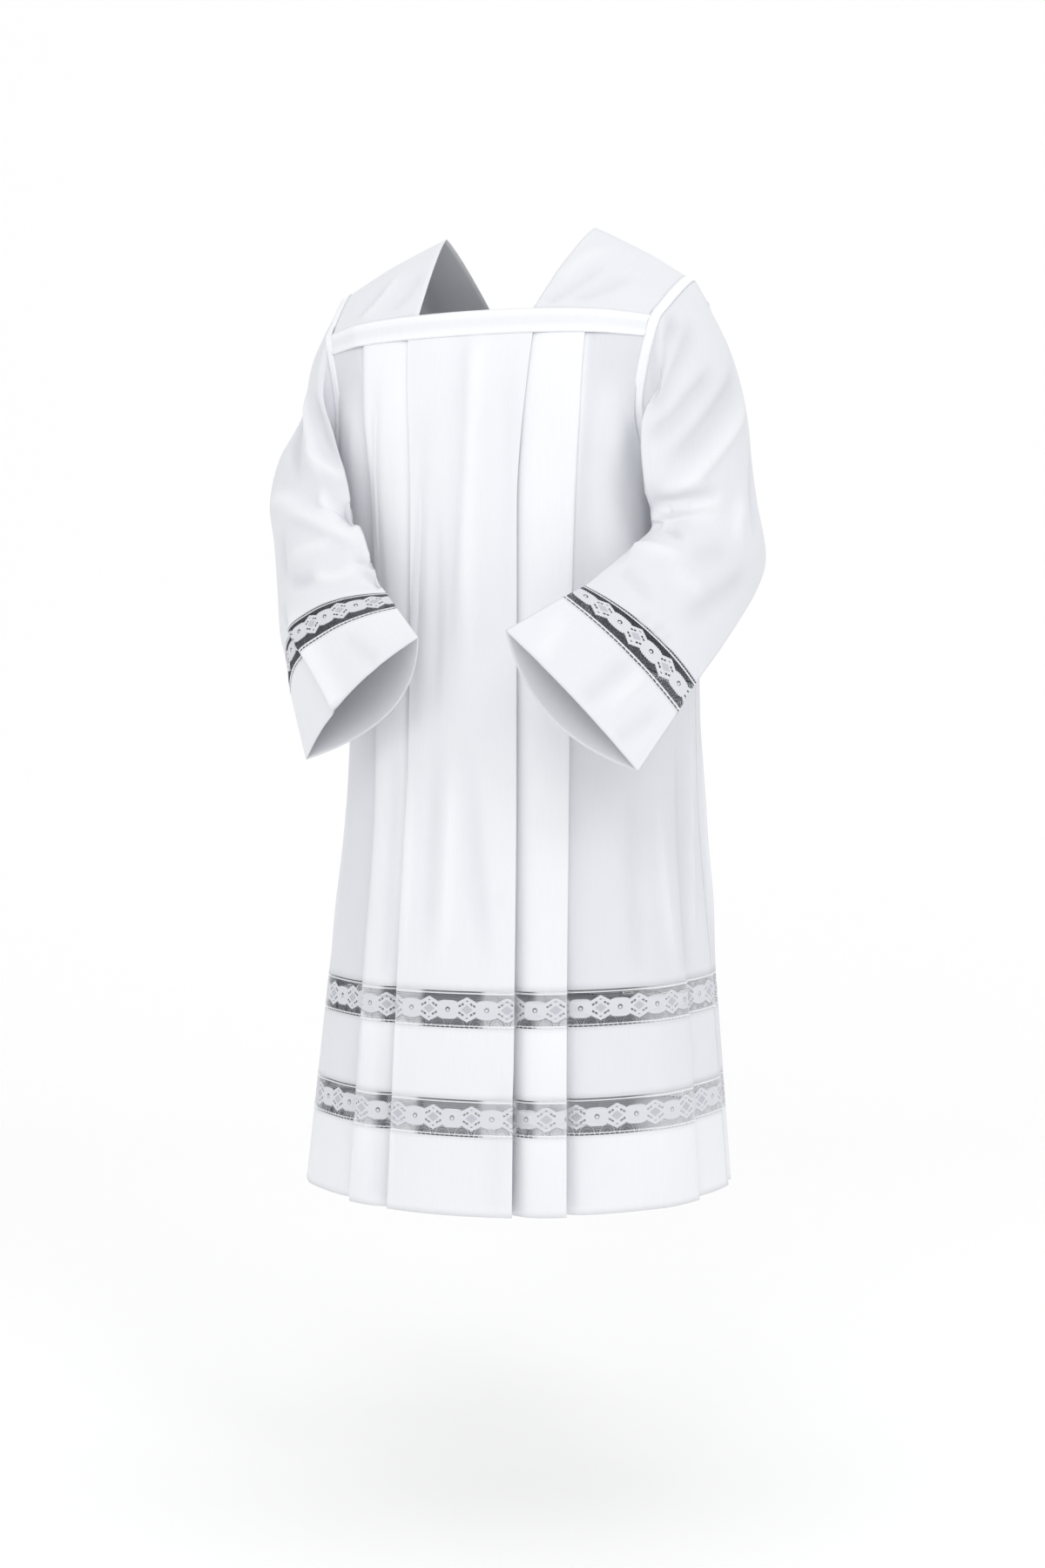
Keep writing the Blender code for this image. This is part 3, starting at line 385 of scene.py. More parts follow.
def armhole_distance(z, face):
    """How far from the centre a panel reaches: to its armhole, or to its side seam."""
    along, _, y = body_line(z, face)
    if z <= UNDERARM_Z:
        return along[-1]
    table = ARMHOLE_FRONT if face == "front" else ARMHOLE_BACK
    order = slice(None) if face == "front" else slice(None, None, -1)
    reach = float(np.interp(read(table, "y", z), y[order], along[order]))
    low = min(1.0, (z - UNDERARM_Z) / (table["z"][0] - UNDERARM_Z))
    return along[-1] + (reach - along[-1]) * low


def band_edge_z(x, face, below):
    """The height of the yoke band's top edge, or of the edge below it."""
    drop = FRONT_NECK_DROP if face == "front" else BACK_NECK_DROP
    curve = BAND_END_DROP * (x / BAND_END_X) ** 2
    if below:
        return -drop - BAND_DEPTH - curve * BAND_BOTTOM_SHARE
    return -drop - curve


def band_points(distance, inset, face, below):
    """Points along an edge of the yoke band."""
    distance = np.asarray(distance, float)
    z = band_edge_z(distance, face, below)
    for _ in range(2):  # nearer each time, as the edge's height depends on the point's x
        z = band_edge_z(on_body(distance, 0.0, np.round(z, 5), face)[..., 0], face, below)
    return on_body(distance, inset, np.round(z, 6), face)


def band_end(face, below):
    """How far from the centre an edge of the yoke band meets the armhole."""
    z = band_edge_z(BAND_END_X, face, below)
    for _ in range(3):
        distance = armhole_distance(z, face)
        z = band_edge_z(float(on_body([distance], 0.0, z, face)[0, 0]), face, below)
    return distance


def half_circle(at, near, far, side):
    """A fold between two plies: distances and insets round its lip."""
    turn = np.radians(np.linspace(-90, 90, LIP_STEPS + 1))
    middle, radius = (near + far) / 2, (far - near) / 2
    return at + side * radius * (np.cos(turn) - 1), middle + radius * np.sin(turn)


def pleat_path(z, end, seam, swing):
    """The pleated half of a row: distances from the centre, and how far in.

    The row ends at its armhole or at the side seam; the cloth lies as it does on the whole width.
    """
    first = read(PLEATS, "first_fold", z) + swing
    second = read(PLEATS, "second_fold", z) + swing
    tucked, depth = read(PLEATS, "tucked", z), read(PLEATS, "depth", z)
    side_fold = read(PLEATS, "side_fold", z)
    distances = [first * np.linspace(0, 1, CENTRE_STEPS, endpoint=False)]
    insets = [np.zeros(CENTRE_STEPS)]

    def add(distance, inset):
        distances.append(np.asarray(distance))
        insets.append(np.asarray(inset))

    part = np.linspace(0, 1, TUCK_STEPS + 1)[1:-1]
    for fold, following, panel in ((first, second, PLEAT_PANEL), (second, end, SIDE_PANEL)):
        beside = max(depth * panel["share"][0], 2 * LAYER)
        add(*half_circle(fold, 0.0, LAYER, 1))
        add(fold - tucked * part, LAYER + (depth - 2 * LAYER) * part)
        add(*half_circle(fold - tucked, depth - LAYER, depth, -1))
        add(fold - tucked * (1 - part), depth + (beside - depth) * part)
        steps = PLEAT_STEPS if following is second else SIDE_STEPS
        share = np.linspace(0, 1, steps, endpoint=following is not second)
        width = following if following is second else seam
        part_way = (following - fold) * share / (width - fold)
        inset = np.maximum(
            depth * read(panel, "share", part_way, "part"),
            2 * LAYER * (1 - LAYER_FADE * part_way),
        )
        if panel is SIDE_PANEL:
            inset = inset + side_fold * read(panel, "fold", part_way, "part")
        add(fold + (following - fold) * share, inset)
    return np.concatenate(distances), np.concatenate(insets)


def pleated_row(face, z, seam_share=0.0):
    """A row across a face; near the yoke it follows the band's curved seam by seam_share.

    Gives the points and how far each lies from the centre, negative on the -X side.
    """
    seam_z = band_edge_z(BAND_END_X / 2, face, True)
    end_top = band_end(face, True) if seam_share else 0.0
    swing = read(PLEATS, "swing", z) if face == "front" else 0.0
    halves, places = [], []
    for side in (-1, 1):
        end = armhole_distance(z, face)
        end = end * (1 - seam_share) + end_top * seam_share
        level = z * (1 - seam_share) + seam_z * seam_share
        distance, inset = pleat_path(level, end, body_line(level, face)[0][-1], side * swing)
        level = on_body(distance, inset, z, face)
        if seam_share:
            top = band_points(distance, inset, face, True)
            level = level * (1 - seam_share) + top * seam_share
        level[:, 2] += read(PLEATS, "side_rise", z) * (distance / end) ** 2
        halves.append(level * (side, 1, 1))
        places.append(distance * side)
    points = np.concatenate([halves[0][:0:-1], halves[1]])
    return points, np.concatenate([places[0][:0:-1], places[1]])


def body_grid(face, heights):
    """The rows of a piece of the body, and where each point lies: (distance, height)."""
    rows, places = [], []
    for z, seam_share in heights:
        points, distance = pleated_row(face, z, seam_share)
        rows.append(points)
        places.append(np.stack([distance, np.full(len(distance), z)], axis=-1))
    rows, places = np.array(rows), np.array(places)
    if face == "back":
        rows, places = rows[:, ::-1], places[:, ::-1]
    return rows, places


def grid_normals(points, closed=False):
    """Outward direction at each point of a grid."""
    ahead = np.roll(points, -1, axis=1)
    across, down = (ahead - points), (points[1:] - points[:-1])
    if not closed:
        across = across[:, :-1]
        down_both = down[:, :-1] + down[:, 1:]
    else:
        down_both = down + np.roll(down, -1, axis=1)
    faces = unit(np.cross(down_both, across[:-1] + across[1:]))
    rows, width = len(points), faces.shape[1]
    normals = np.zeros_like(points)
    for a in (0, 1):
        for b in (0, 1):
            if closed:
                normals[a:a + rows - 1] += np.roll(faces, b, axis=1)
            else:
                normals[a:a + rows - 1, b:b + width] += faces
    return unit(normals)


def beside(points, path, side_of):
    """How far each point lies to the left of a path, and how far along it, as a share."""
    steps = np.diff(path, axis=0)
    lengths = np.linalg.norm(steps, axis=1)
    run = np.concatenate([[0], np.cumsum(lengths)])
    best = np.full(points.shape[:-1], 1e9)
    share, aside = np.zeros_like(best), np.zeros_like(best)
    for n, (start, step) in enumerate(zip(path, steps)):
        away = points - start
        t = np.clip((away @ step) / lengths[n] ** 2, 0.0, 1.0)
        off = away - t[..., None] * step
        distance = np.linalg.norm(off, axis=-1)
        nearer = distance < best
        best = np.where(nearer, distance, best)
        share = np.where(nearer, (run[n] + t * lengths[n]) / run[-1], share)
        aside = np.where(nearer, np.sign(side_of(step, off)) * distance, aside)
    return aside, share


def fold_rise(aside, share, fold):
    """How far the cloth stands out beside the path of a fold."""
    height, left, right = (value / 1000 for value in fold[1:4])
    dip, start, end = fold[4:]
    broad = max(left, right)
    bell = np.exp(-((aside / np.where(aside > 0, left, right)) ** 2))
    steep = (aside > 0) == (left < right)
    bell = np.where(steep, bell * (1 + dip) - dip * np.exp(-((aside / broad) ** 2)), bell)
    fade = np.clip(share / start, 0, 1) * np.clip((1 - share) / end, 0, 1)
    return height * fade * fade * (3 - 2 * fade) * bell


def painted_fold_light(rise):
    """Painted highlight on a ridge and painted shade in a trough: how much paler and darker the
    thin cloth is drawn.
    """
    return FOLD_PAINTED_LIGHT * np.clip(rise, -FOLD_LIMIT, FOLD_LIMIT)


def pressed(points, places, folds, mirror=1):
    """A grid of the body with soft folds pressed into it; mirror is -1 on the back."""
    rise = np.zeros(points.shape[:2])

    def side_of(step, off):
        return (step[0] * off[..., 1] - step[1] * off[..., 0]) * mirror

    for fold in folds:
        aside, share = beside(places, spline(np.array(fold[0]) / 1000), side_of)
        rise += fold_rise(aside, share, fold)
    return points + grid_normals(points) * rise[..., None], rise


def spline(points):
    """A line with more points, on a smooth line through the given ones."""
    padded = np.concatenate([[2 * points[0] - points[1]], points, [2 * points[-1] - points[-2]]])
    line = []
    for n in range(len(points) - 1):
        for t in np.linspace(0, 1, FOLD_STEPS, endpoint=False):
            line.append(blended(*padded[n:n + 4], t))
    return np.array(line + [points[-1]])


# --- Yoke, bands and sleeves ---------------------------------------------------------------


def neck_corner_distance(face):
    half_width = NECK_HALF_WIDTH_FRONT if face == "front" else NECK_HALF_WIDTH_BACK
    along, x, _ = body_line(band_edge_z(half_width, face, False), face)
    return float(np.interp(half_width, x, along))


def yoke_band(face):
    """The band, widened a little at its edges so that it lies over what it is sewn to."""
    rows = []
    for below in (False, True):
        end = band_end(face, below)
        half = band_points(end * np.linspace(0, 1, BAND_STEPS), -BAND_RAISED, face, below)
        rows.append(np.concatenate([half[:0:-1] * (-1, 1, 1), half]))
    top, bottom = rows
    shares = np.linspace(-BAND_OVERLAP, 1 + BAND_OVERLAP, len(BAND_TONES))[:, None, None]
    grid = top[None] * (1 - shares) + bottom[None] * shares
    return grid[:, ::-1] if face == "back" else grid


def over_the_ridge(ridge, front_end, back_end, steps):
    """A line from the front band over the shoulder ridge to the back band."""
    curve = [np.array([t, t, t**RIDGE_ROUNDNESS]) for t in steps]
    front = [ridge + (front_end - ridge) * share for share in curve]
    back = [ridge + (back_end - ridge) * share for share in curve[::-1]]
    return np.array(front + [ridge] + back)


def yoke_edge(face, cells):
    corner, end = neck_corner_distance(face), band_end(face, False)
    return band_points(np.linspace(corner, end, cells + 1), 0.0, face, False)


def shoulder_yoke(side, steps, cells):
    """A shoulder piece, on the +X side: a patch between neck, armhole and the two bands."""
    front, back = yoke_edge("front", cells), yoke_edge("back", cells)
    neck = over_the_ridge(np.array([NECK_HALF_WIDTH_RIDGE, 0, 0]), front[0], back[0], steps)
    half_width, drop = SHOULDER_END[side]
    ridge_end = np.array([half_width, 0, -drop])
    armhole = over_the_ridge(ridge_end, front[-1], back[-1], steps)
    across = np.linspace(0, 1, cells + 1)[None, :, None]
    down = np.linspace(0, 1, len(neck))[:, None, None]
    sides = neck[:, None] * (1 - across) + armhole[:, None] * across
    ends = front[None] * (1 - down) + back[None] * down
    corners = (front[0] * (1 - across) + front[-1] * across) * (1 - down)
    corners = corners + (back[0] * (1 - across) + back[-1] * across) * down
    return sides + ends - corners


def armhole_loop(side):
    """An armhole seam, on the +X side: down the front, round the underarm, up the back."""
    yoke_side = shoulder_yoke(side, SHOULDER_STEPS, YOKE_CELLS)[:, -1]
    middle = len(yoke_side) // 2
    loops = []
    for face, table in (("front", ARMHOLE_FRONT), ("back", ARMHOLE_BACK)):
        edge = [band_points([band_end(face, True)], 0.0, face, True)[0]]
        for z in sorted(table["z"][:ARMHOLE_SEAM_ROWS], reverse=True):
            edge.append(on_body([armhole_distance(z, face)], 0.0, z, face)[0])
        loops.append(edge)
    underarm = on_body([armhole_distance(UNDERARM_Z, "front")], 0.0, UNDERARM_Z, "front")
    front, back = yoke_side[:middle + 1][::-1], yoke_side[middle + 1:][::-1]
    return np.concatenate([front, loops[0], underarm, loops[1][::-1], back])


def strip_loop(inner):
    """The outer edge of the armhole strip, where the sleeve is sewn on."""
    centre = inner.mean(0)
    outer = []
    for point in inner:
        away = unit((point - centre) * (0, 1, 1))
        lean = STRIP_LEAN + UNDERARM_LEAN_FALL * min(0.0, away[2] - UNDERARM_FROM)
        outer.append(point + ARMHOLE_STRIP_WIDTH * unit(np.array([1, 0, 0]) - lean * away))
    return np.array(outer)


def smooth_loop(points, fineness):
    """A closed loop with more points, on a smooth line through the given ones."""
    before, ahead, after = (np.roll(points, n, axis=0) for n in (1, -1, -2))
    rows = []
    for t in np.linspace(0, 1, fineness, endpoint=False):
        rows.append(blended(before, points, ahead, after, t))
    return np.stack(rows, axis=1).reshape(-1, 3)


def blended(before, here, there, after, t):
    """A point on the smooth line through four points, between the middle two."""
    return 0.5 * (
        2 * here
        + (there - before) * t
        + (2 * before - 5 * here + 4 * there - after) * t**2
        + (3 * here - before - 3 * there + after) * t**3
    )


def ring_of(row, count):
    """One ring of a sleeve: an oval whose ends turn more pointed the flatter it is."""
    elbow, face, crook, inner = (np.array(point) / 1000 for point in row)
    centre, half = (elbow + crook) / 2, (crook - elbow) / 2
    thickness = np.linalg.norm(face - inner) / np.linalg.norm(half)
    flatness = max(0.0, 1 - ROUND_SHARE * thickness)
    points = []
    for k in range(count):
        angle = 2 * math.pi * k / count
        bulge = (face if math.cos(angle) > 0 else inner) - centre
        straight = math.asin(math.sin(angle)) * 2 / math.pi
        reach = (1 - flatness) * math.sin(angle) + flatness * straight
        points.append(centre + half * reach + bulge * abs(math.cos(angle)))
    return np.array(points)


def sleeve_rings(strip, table, sign):
    """The rings of one sleeve, from the armhole strip to the cuff."""
    drawn = [ring_of(row, len(strip)) for row in table]
    first = (strip + drawn[0]) / 2 + (sign * SHOULDER_FULLNESS, 0, 0)
    return [strip, first, *drawn]


def ring_at(rings, position):
    k = min(int(position), len(rings) - 2)
    before, after = rings[max(k - 1, 0)], rings[min(k + 2, len(rings) - 1)]
    return blended(before, rings[k], rings[k + 1], after, position - k)


def sleeve_grid(rings, first, last, deep_folds=()):
    """Rows of a sleeve between two ring positions, with its deepest folds pressed in."""
    positions = np.linspace(first, last, round((last - first) * SLEEVE_STEPS) + 1)
    around = np.arange(len(rings[0])) / len(rings[0])
    rows = []
    for position in positions:
        ring = ring_at(rings, position)
        inward = unit(ring.mean(0) - ring)
        for fold in deep_folds:
            along = math.exp(-(((position - fold["along"]) / fold["half_along"]) ** 2))
            width = np.exp(-(((around - fold["around"]) / fold["half_around"]) ** 2))
            ring = ring + inward * (fold["depth"] * along * width)[:, None]
        rows.append(ring)
    return np.array(rows), positions


def creased(points, place, folds, closed=False):
    """A grid with soft folds pressed in; place gives the point for a pair of a fold's path."""
    normals = grid_normals(points, closed)
    rise = np.zeros(points.shape[:2])

    def side_of(step, off):
        return np.einsum("ijk,ijk->ij", np.cross(normals, step), off)

    for fold in folds:
        pairs = np.array(fold[0])
        pairs[:, 1] = np.unwrap(pairs[:, 1], period=1) if closed else pairs[:, 1]
        path = np.array([place(*pair) for pair in spline(pairs)])
        aside, share = beside(points, path, side_of)
        rise += fold_rise(aside, share, fold)
    return points + normals * rise[..., None], rise


def on_rings(rings):
    """A function from a ring position and a share of the way round to a point."""
    def place(position, around):
        ring = ring_at(rings, position)
        k = (around % 1) * len(ring)
        a, b = int(k) % len(ring), (int(k) + 1) % len(ring)
        return ring[a] * (1 - k % 1) + ring[b] * (k % 1)

    return place


def on_patch(grid):
    """A function from shares down and across a grid to a point."""
    def place(down, across):
        row, column = down * (len(grid) - 1), across * (grid.shape[1] - 1)
        i, j = min(int(row), len(grid) - 2), min(int(column), grid.shape[1] - 2)
        a, b = row - i, column - j
        above = grid[i, j] * (1 - b) + grid[i, j + 1] * b
        below = grid[i + 1, j] * (1 - b) + grid[i + 1, j + 1] * b
        return above * (1 - a) + below * a

    return place


# --- Making pieces -------------------------------------------------------------------------


def new_piece(name, vertices, faces, materials, replaces=()):
    """An object from points and faces, which rides on the part and stands for its solids."""
    mesh = bpy.data.meshes.new(name)
    mesh.from_pydata([tuple(v) for v in vertices], [], [tuple(f) for f in faces])
    for material in materials:
        mesh.materials.append(material)
    piece = bpy.data.objects.new(name, mesh)
    bpy.context.scene.collection.objects.link(piece)
    mesh.shade_smooth()
    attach(piece, "root")
    if replaces:
        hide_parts(*replaces)
    return piece


def lengths_across(points):
    """Real lengths from the first column and the first row, along the grid's middle."""
    middle_row, middle_column = points[len(points) // 2], points[:, points.shape[1] // 2]
    across = np.linalg.norm(np.diff(middle_row, axis=0), axis=1)
    down = np.linalg.norm(np.diff(middle_column, axis=0), axis=1)
    return (np.concatenate([[0], np.cumsum(v)]) for v in (across, down))


def cloth(
    name, points, layers, material, replaces=(), closed=False, thickness=CLOTH, places=None
):
    """A thin shell of cloth on a grid, whose weave lies along it or by places on the flat cut.

    layers is 0 where the cloth is single and 1 where it is doubled. It also carries painted shade,
    down to -1, in troughs and where thin cloth hangs with nothing behind it, and painted highlight
    on ridges.
    """
    rows, columns = points.shape[:2]
    across, down = lengths_across(points)
    if closed:
        wrap = np.linalg.norm(points[rows // 2, 0] - points[rows // 2, -1])
        across = np.append(across, across[-1] + wrap)
    faces, spots = [], []
    for i in range(rows - 1):
        for j in range(columns if closed else columns - 1):
            k = (j + 1) % columns
            a, b = i * columns, (i + 1) * columns
            faces.append((a + j, b + j, b + k, a + k))
            spots += [(j, i), (j, i + 1), (j + 1, i + 1), (j + 1, i)]
    piece = new_piece(name, points.reshape(-1, 3), faces, [material], replaces)
    uv = piece.data.uv_layers.new(name="cut")
    spots = np.array(spots)
    if places is None:
        flat = np.stack([across[spots[:, 0]], -down[spots[:, 1]]], axis=-1)
    else:
        flat = places[spots[:, 1], spots[:, 0]]
    uv.data.foreach_set("uv", flat.ravel())
    # The attribute carries how doubled the cloth is, with painted shade and painted highlight.
    attribute = piece.data.attributes.new("layers", "FLOAT", "POINT")
    shade = np.clip(0.5 + 0.5 * np.broadcast_to(layers, (rows, columns)), 0, 1)
    attribute.data.foreach_set("value", shade.ravel())
    shell = piece.modifiers.new("thickness", "SOLIDIFY")
    shell.thickness = thickness
    shell.offset = 0.0
    return piece


# --- Lace ----------------------------------------------------------------------------------

REPEAT = 0.0465
CHAIN_V = 0.0205  # height of the chain of motifs in the band
NET_CELLS = 20  # in one repeat
NET_THREAD = 0.00058
THREAD_EDGES, THREAD_RIDGE = 0.3, 0.45  # a thread's depth and height, as shares of its width
FOOT = 0.0024  # where the net's fans stand on the lower rail
FAN_RADIUS = 0.0100
FAN_RIBS = 12
FAN_RINGS = (1, 2, 3)
FAN_CORE = 0.35  # where its ribs start, as a share of its first ring
FAN_PLACES, NEXT_FANS = (-0.25, 0.25), (-0.75, 0.75)  # in repeats from the flower's centre
NET_UNDER_MOTIF = 0.98  # how much of a motif's height has no net behind it
CLOTHWORK = 0.0007  # thickness of the closely worked motifs
OPEN_WORK = 0.55 * CLOTHWORK

# Where a flower and a diamond of the chain meet, and their toothed edges, in millimetres
# from the motif's centre
MEETING = REPEAT * 250
DIAMOND_EDGE = (
    (0.0, 14.3), (1.5, 12.9), (2.3, 13.3), (3.5, 11.9), (4.4, 12.3), (5.6, 10.9), (6.5, 11.2),
    (7.7, 9.8), (8.6, 10.1), (9.8, 8.7), (10.7, 9.0), (MEETING, 7.9),
)
FLOWER_HEIGHTS = (10.3, 10.9)  # above and below the centre
FLOWER_REACH = 14.5  # how far out its rounded edges would end
FLOWER_TEETH, TOOTH = 8, 0.55
EYE, EYE_DOT = 3.1, (1.7, -0.7)  # radius of the eye; radius of its worked dot, and how far down
SLOT_AT, SLOT_SIZE, SLOT_BAR, SLOT_TURN = (7.0, 4.9), (3.0, 2.3), 3.9, 29  # mm, then degrees
SLIT_AT, SLIT_SIZE = 9.6, (2.8, 1.1)
OPEN_CENTRE = (7.0, 5.2)  # the open-worked middle of the diamond, from its centre to its corners
DARNED_BARS = (-3.0, 0.0, 3.0)  # across the open-worked middle, mm from its centre
# Closely worked rails: height in the band and width
RAILS = ((LACE_WIDTH - 0.0025, 0.0020), (0.0021, 0.0018))
RAIL_STEPS = 12  # in one repeat
GAP_THREAD = 0.0013  # the net seen between the bars
# The bars beyond each rail: how many in a repeat, and their width
BARS = ((14, 0.0008), (8, 0.0018))


def box_at(x, y, width, height, turn=0.0):
    c, s = math.cos(math.radians(turn)), math.sin(math.radians(turn))
    corners = ((-width, -height), (width, -height), (width, height), (-width, height))
    return [(x + a / 2 * c - b / 2 * s, y + a / 2 * s + b / 2 * c) for a, b in corners]


def flower_outline():
    """A wide flower with toothed edges, which meets its neighbours along straight lines."""
    x = np.linspace(-MEETING, MEETING, 2 * FLOWER_TEETH + 1)
    tooth = np.where(np.arange(len(x)) % 2, TOOTH, -TOOTH)
    edge = (1 - abs(x / FLOWER_REACH) ** 3) ** (1 / 3)
    top, bottom = (edge * height + tooth for height in FLOWER_HEIGHTS)
    return list(zip(x, top)) + list(zip(x[::-1], -bottom[::-1]))


def diamond_outline():
    right = list(DIAMOND_EDGE) + [(x, -y) for x, y in DIAMOND_EDGE[::-1]]
    return right + [(-x, y) for x, y in right[-2:0:-1]]


def round_at(y, radius):
    turns = np.linspace(0, 2 * math.pi, 8, endpoint=False)
    return [(radius * math.cos(t), y + radius * math.sin(t)) for t in turns]


def motif_parts():
    """Closely worked shapes of one repeat: (centre in repeats, outline, holes, open work)."""
    holes = [box_at(0, side * SLIT_AT, *SLIT_SIZE) for side in (-1, 1)]
    for a in (-1, 1):
        for b in (-1, 1):
            turn = math.radians(-a * b * SLOT_TURN)
            for end in (-SLOT_BAR / 2, SLOT_BAR / 2):
                x = a * SLOT_AT[0] + end * math.cos(turn)
                y = b * SLOT_AT[1] + end * math.sin(turn)
                holes.append(box_at(x, y, *SLOT_SIZE, math.degrees(turn)))
    wide, high = OPEN_CENTRE
    centre = [(wide, 0), (0, high), (-wide, 0), (0, -high)]
    return (
        (0.0, flower_outline(), [round_at(0, EYE)], 0.0),
        (0.0, round_at(EYE_DOT[1], EYE_DOT[0]), [], 0.0),
        (0.5, diamond_outline(), [*holes, centre], 0.0),
        (0.5, centre, [], 1.0),
    )


def motif_triangles():
    """The worked shapes of one repeat as flat triangles, in metres from the flower's centre."""
    triangles, opens = [], []
    for place, outline, holes, is_open in motif_parts():
        loops = [[(x, y, 0) for x, y in loop] for loop in (outline, *holes)]
        points = [point for loop in loops for point in loop]
        for triangle in tessellate_polygon(loops):
            corners = [(points[n][0] / 1000, points[n][1] / 1000) for n in triangle]
            triangles.append([(u + place * REPEAT, v) for u, v in corners])
            opens.append(is_open)
    return triangles, opens


def inside(points, outline):
    """Which points lie inside a closed outline."""
    result = np.zeros(len(points), bool)
    x, y = points[:, 0], points[:, 1]
    for (ax, ay), (bx, by) in zip(outline, outline[1:] + outline[:1]):
        crosses = (ay > y) != (by > y)
        with np.errstate(divide="ignore", invalid="ignore"):
            result ^= crosses & (x < (bx - ax) * (y - ay) / (by - ay) + ax)
    return result


def net_threads():
    """The threads of one repeat, in metres: (u, v, u, v, width, number of its material)."""
    width = REPEAT / NET_CELLS
    side = width / math.sqrt(3)
    threads = []
    for j in range(int(LACE_WIDTH / (1.5 * side)) + 2):
        for i in range(-NET_CELLS // 2, NET_CELLS // 2):
            x, y = i * width + (j % 2) * width / 2, j * 1.5 * side
            threads.append((x + width / 2, y - side / 2, x + width / 2, y + side / 2))
            threads.append((x + width / 2, y + side / 2, x, y + side))
            threads.append((x, y + side, x - width / 2, y + side / 2))
    threads = np.array(threads)
    middle = (threads[:, :2] + threads[:, 2:]) / 2
    keep = np.minimum(threads[:, 1], threads[:, 3]) > 0
    keep &= np.maximum(threads[:, 1], threads[:, 3]) < LACE_WIDTH
    for v, rail in RAILS:
        keep &= abs(middle[:, 1] - v) > rail / 2
    for fan in FAN_PLACES + NEXT_FANS:
        keep &= np.hypot(middle[:, 0] - fan * REPEAT, middle[:, 1] - FOOT) > FAN_RADIUS
    threads = [tuple(t) for t in threads[keep]]
    for fan in FAN_PLACES:
        for rib in range(FAN_RIBS + 1):
            turn = math.pi * rib / FAN_RIBS
            ahead = math.pi * (rib + 1) / FAN_RIBS
            for ring in FAN_RINGS:
                r = FAN_RADIUS * ring / len(FAN_RINGS)
                core = FAN_RADIUS * max(ring - 1, FAN_CORE) / len(FAN_RINGS)
                x, y = fan * REPEAT, FOOT
                out = (x + r * math.cos(turn), y + r * math.sin(turn))
                if rib % 2 == 0 or ring > 1:
                    threads.append((x + core * math.cos(turn), y + core * math.sin(turn), *out))
                if rib < FAN_RIBS:
                    threads.append((*out, x + r * math.cos(ahead), y + r * math.sin(ahead)))
    threads = np.array(threads)
    middle = (threads[:, :2] + threads[:, 2:]) / 2
    keep = np.ones(len(threads), bool)
    for place, outline, holes, _ in motif_parts():
        for turn in (-1, 0, 1):
            at = (middle - ((place + turn) * REPEAT, CHAIN_V)) * 1000
            covered = inside(at, [(x, y * NET_UNDER_MOTIF) for x, y in outline])
            for hole in holes:
                covered &= ~inside(at, hole)
            keep &= ~covered
    threads = [(*t, NET_THREAD, 1) for t in threads[keep]]
    wide, high = OPEN_CENTRE
    for x in DARNED_BARS:
        half = high * (1 - abs(x) / wide) / 1000
        u = REPEAT / 2 + x / 1000
        threads.append((u, CHAIN_V - half, u, CHAIN_V + half, NET_THREAD, 0))
    edges = (GAP_THREAD / 2, LACE_WIDTH - GAP_THREAD / 2)
    for n in range(RAIL_STEPS):
        a, b = ((n + end) / RAIL_STEPS * REPEAT - REPEAT / 2 for end in (0, 1))
        threads += [(a, v, b, v, rail, 2) for v, rail in RAILS]
        threads += [(a, v, b, v, GAP_THREAD, 1) for v in edges]
    for (v, rail), (count, bar), edge in zip(RAILS, BARS, (LACE_WIDTH, 0.0)):
        for n in range(count):
            u = ((n + 0.5) / count - 0.5) * REPEAT
            threads.append((u, v, u, edge, bar, 2))
    return np.array(threads)


def cut_off(polygon, limit, keep_above):
    """A flat polygon cut along u = limit."""
    result = []
    for a, b in zip(polygon, polygon[1:] + polygon[:1]):
        a_in, b_in = ((p[0] >= limit) == keep_above for p in (a, b))
        if a_in:
            result.append(a)
        if a_in != b_in:
            t = (limit - a[0]) / (b[0] - a[0])
            result.append((limit, a[1] + (b[1] - a[1]) * t))
    return result


def lace_run(start, end, flower):
    """Flat triangles and threads between two places of a band, with a flower at a third."""
    shapes, threads = [], []
    first = math.floor((start - flower) / REPEAT) - 1
    last = math.ceil((end - flower) / REPEAT) + 1
    for n in range(first, last + 1):
        shift = flower + n * REPEAT
        for corners, is_open in zip(*MOTIFS):
            polygon = [(u + shift, v + CHAIN_V) for u, v in corners]
            polygon = cut_off(cut_off(polygon, start, True), end, False)
            if len(polygon) > 2:
                shapes.append((polygon, is_open))
        moved = THREADS + (shift, 0, shift, 0, 0, 0)
        backwards = (moved[:, 0] > moved[:, 2])[:, None]
        moved = np.where(backwards, moved[:, [2, 3, 0, 1, 4, 5]], moved)
        for u0, v0, u1, v1, *kind in moved:
            if u1 < start or u0 > end:
                continue
            run = max(u1 - u0, 1e-9)
            low, high = max(0, (start - u0) / run), min(1, (end - u0) / run)
            if u1 - u0 < 1e-6:
                low, high = 0, 1
            rise = v1 - v0
            threads.append(
                (u0 + run * low, v0 + rise * low, u0 + run * high, v0 + rise * high, *kind)
            )
    return shapes, threads


def placed_on(points, normals, run):
    """Turns flat places of a band, and heights above it, into points on a grid."""
    rows, columns = points.shape[:2]

    def place(flat, above):
        column = np.clip(np.interp(flat[:, 0], run, np.arange(columns)), 0, columns - 1.0001)
        row = np.clip((1 - flat[:, 1] / LACE_WIDTH) * (rows - 1), 0, rows - 1.0001)
        i, j = row.astype(int), column.astype(int)
        a, b = (row - i)[:, None], (column - j)[:, None]
        found = []
        for grid in (points, normals):
            top = grid[i, j] * (1 - b) + grid[i, j + 1] * b
            bottom = grid[i + 1, j] * (1 - b) + grid[i + 1, j + 1] * b
            found.append(top * (1 - a) + bottom * a)
        return found[0] + unit(found[1]) * above[:, None]

    return place


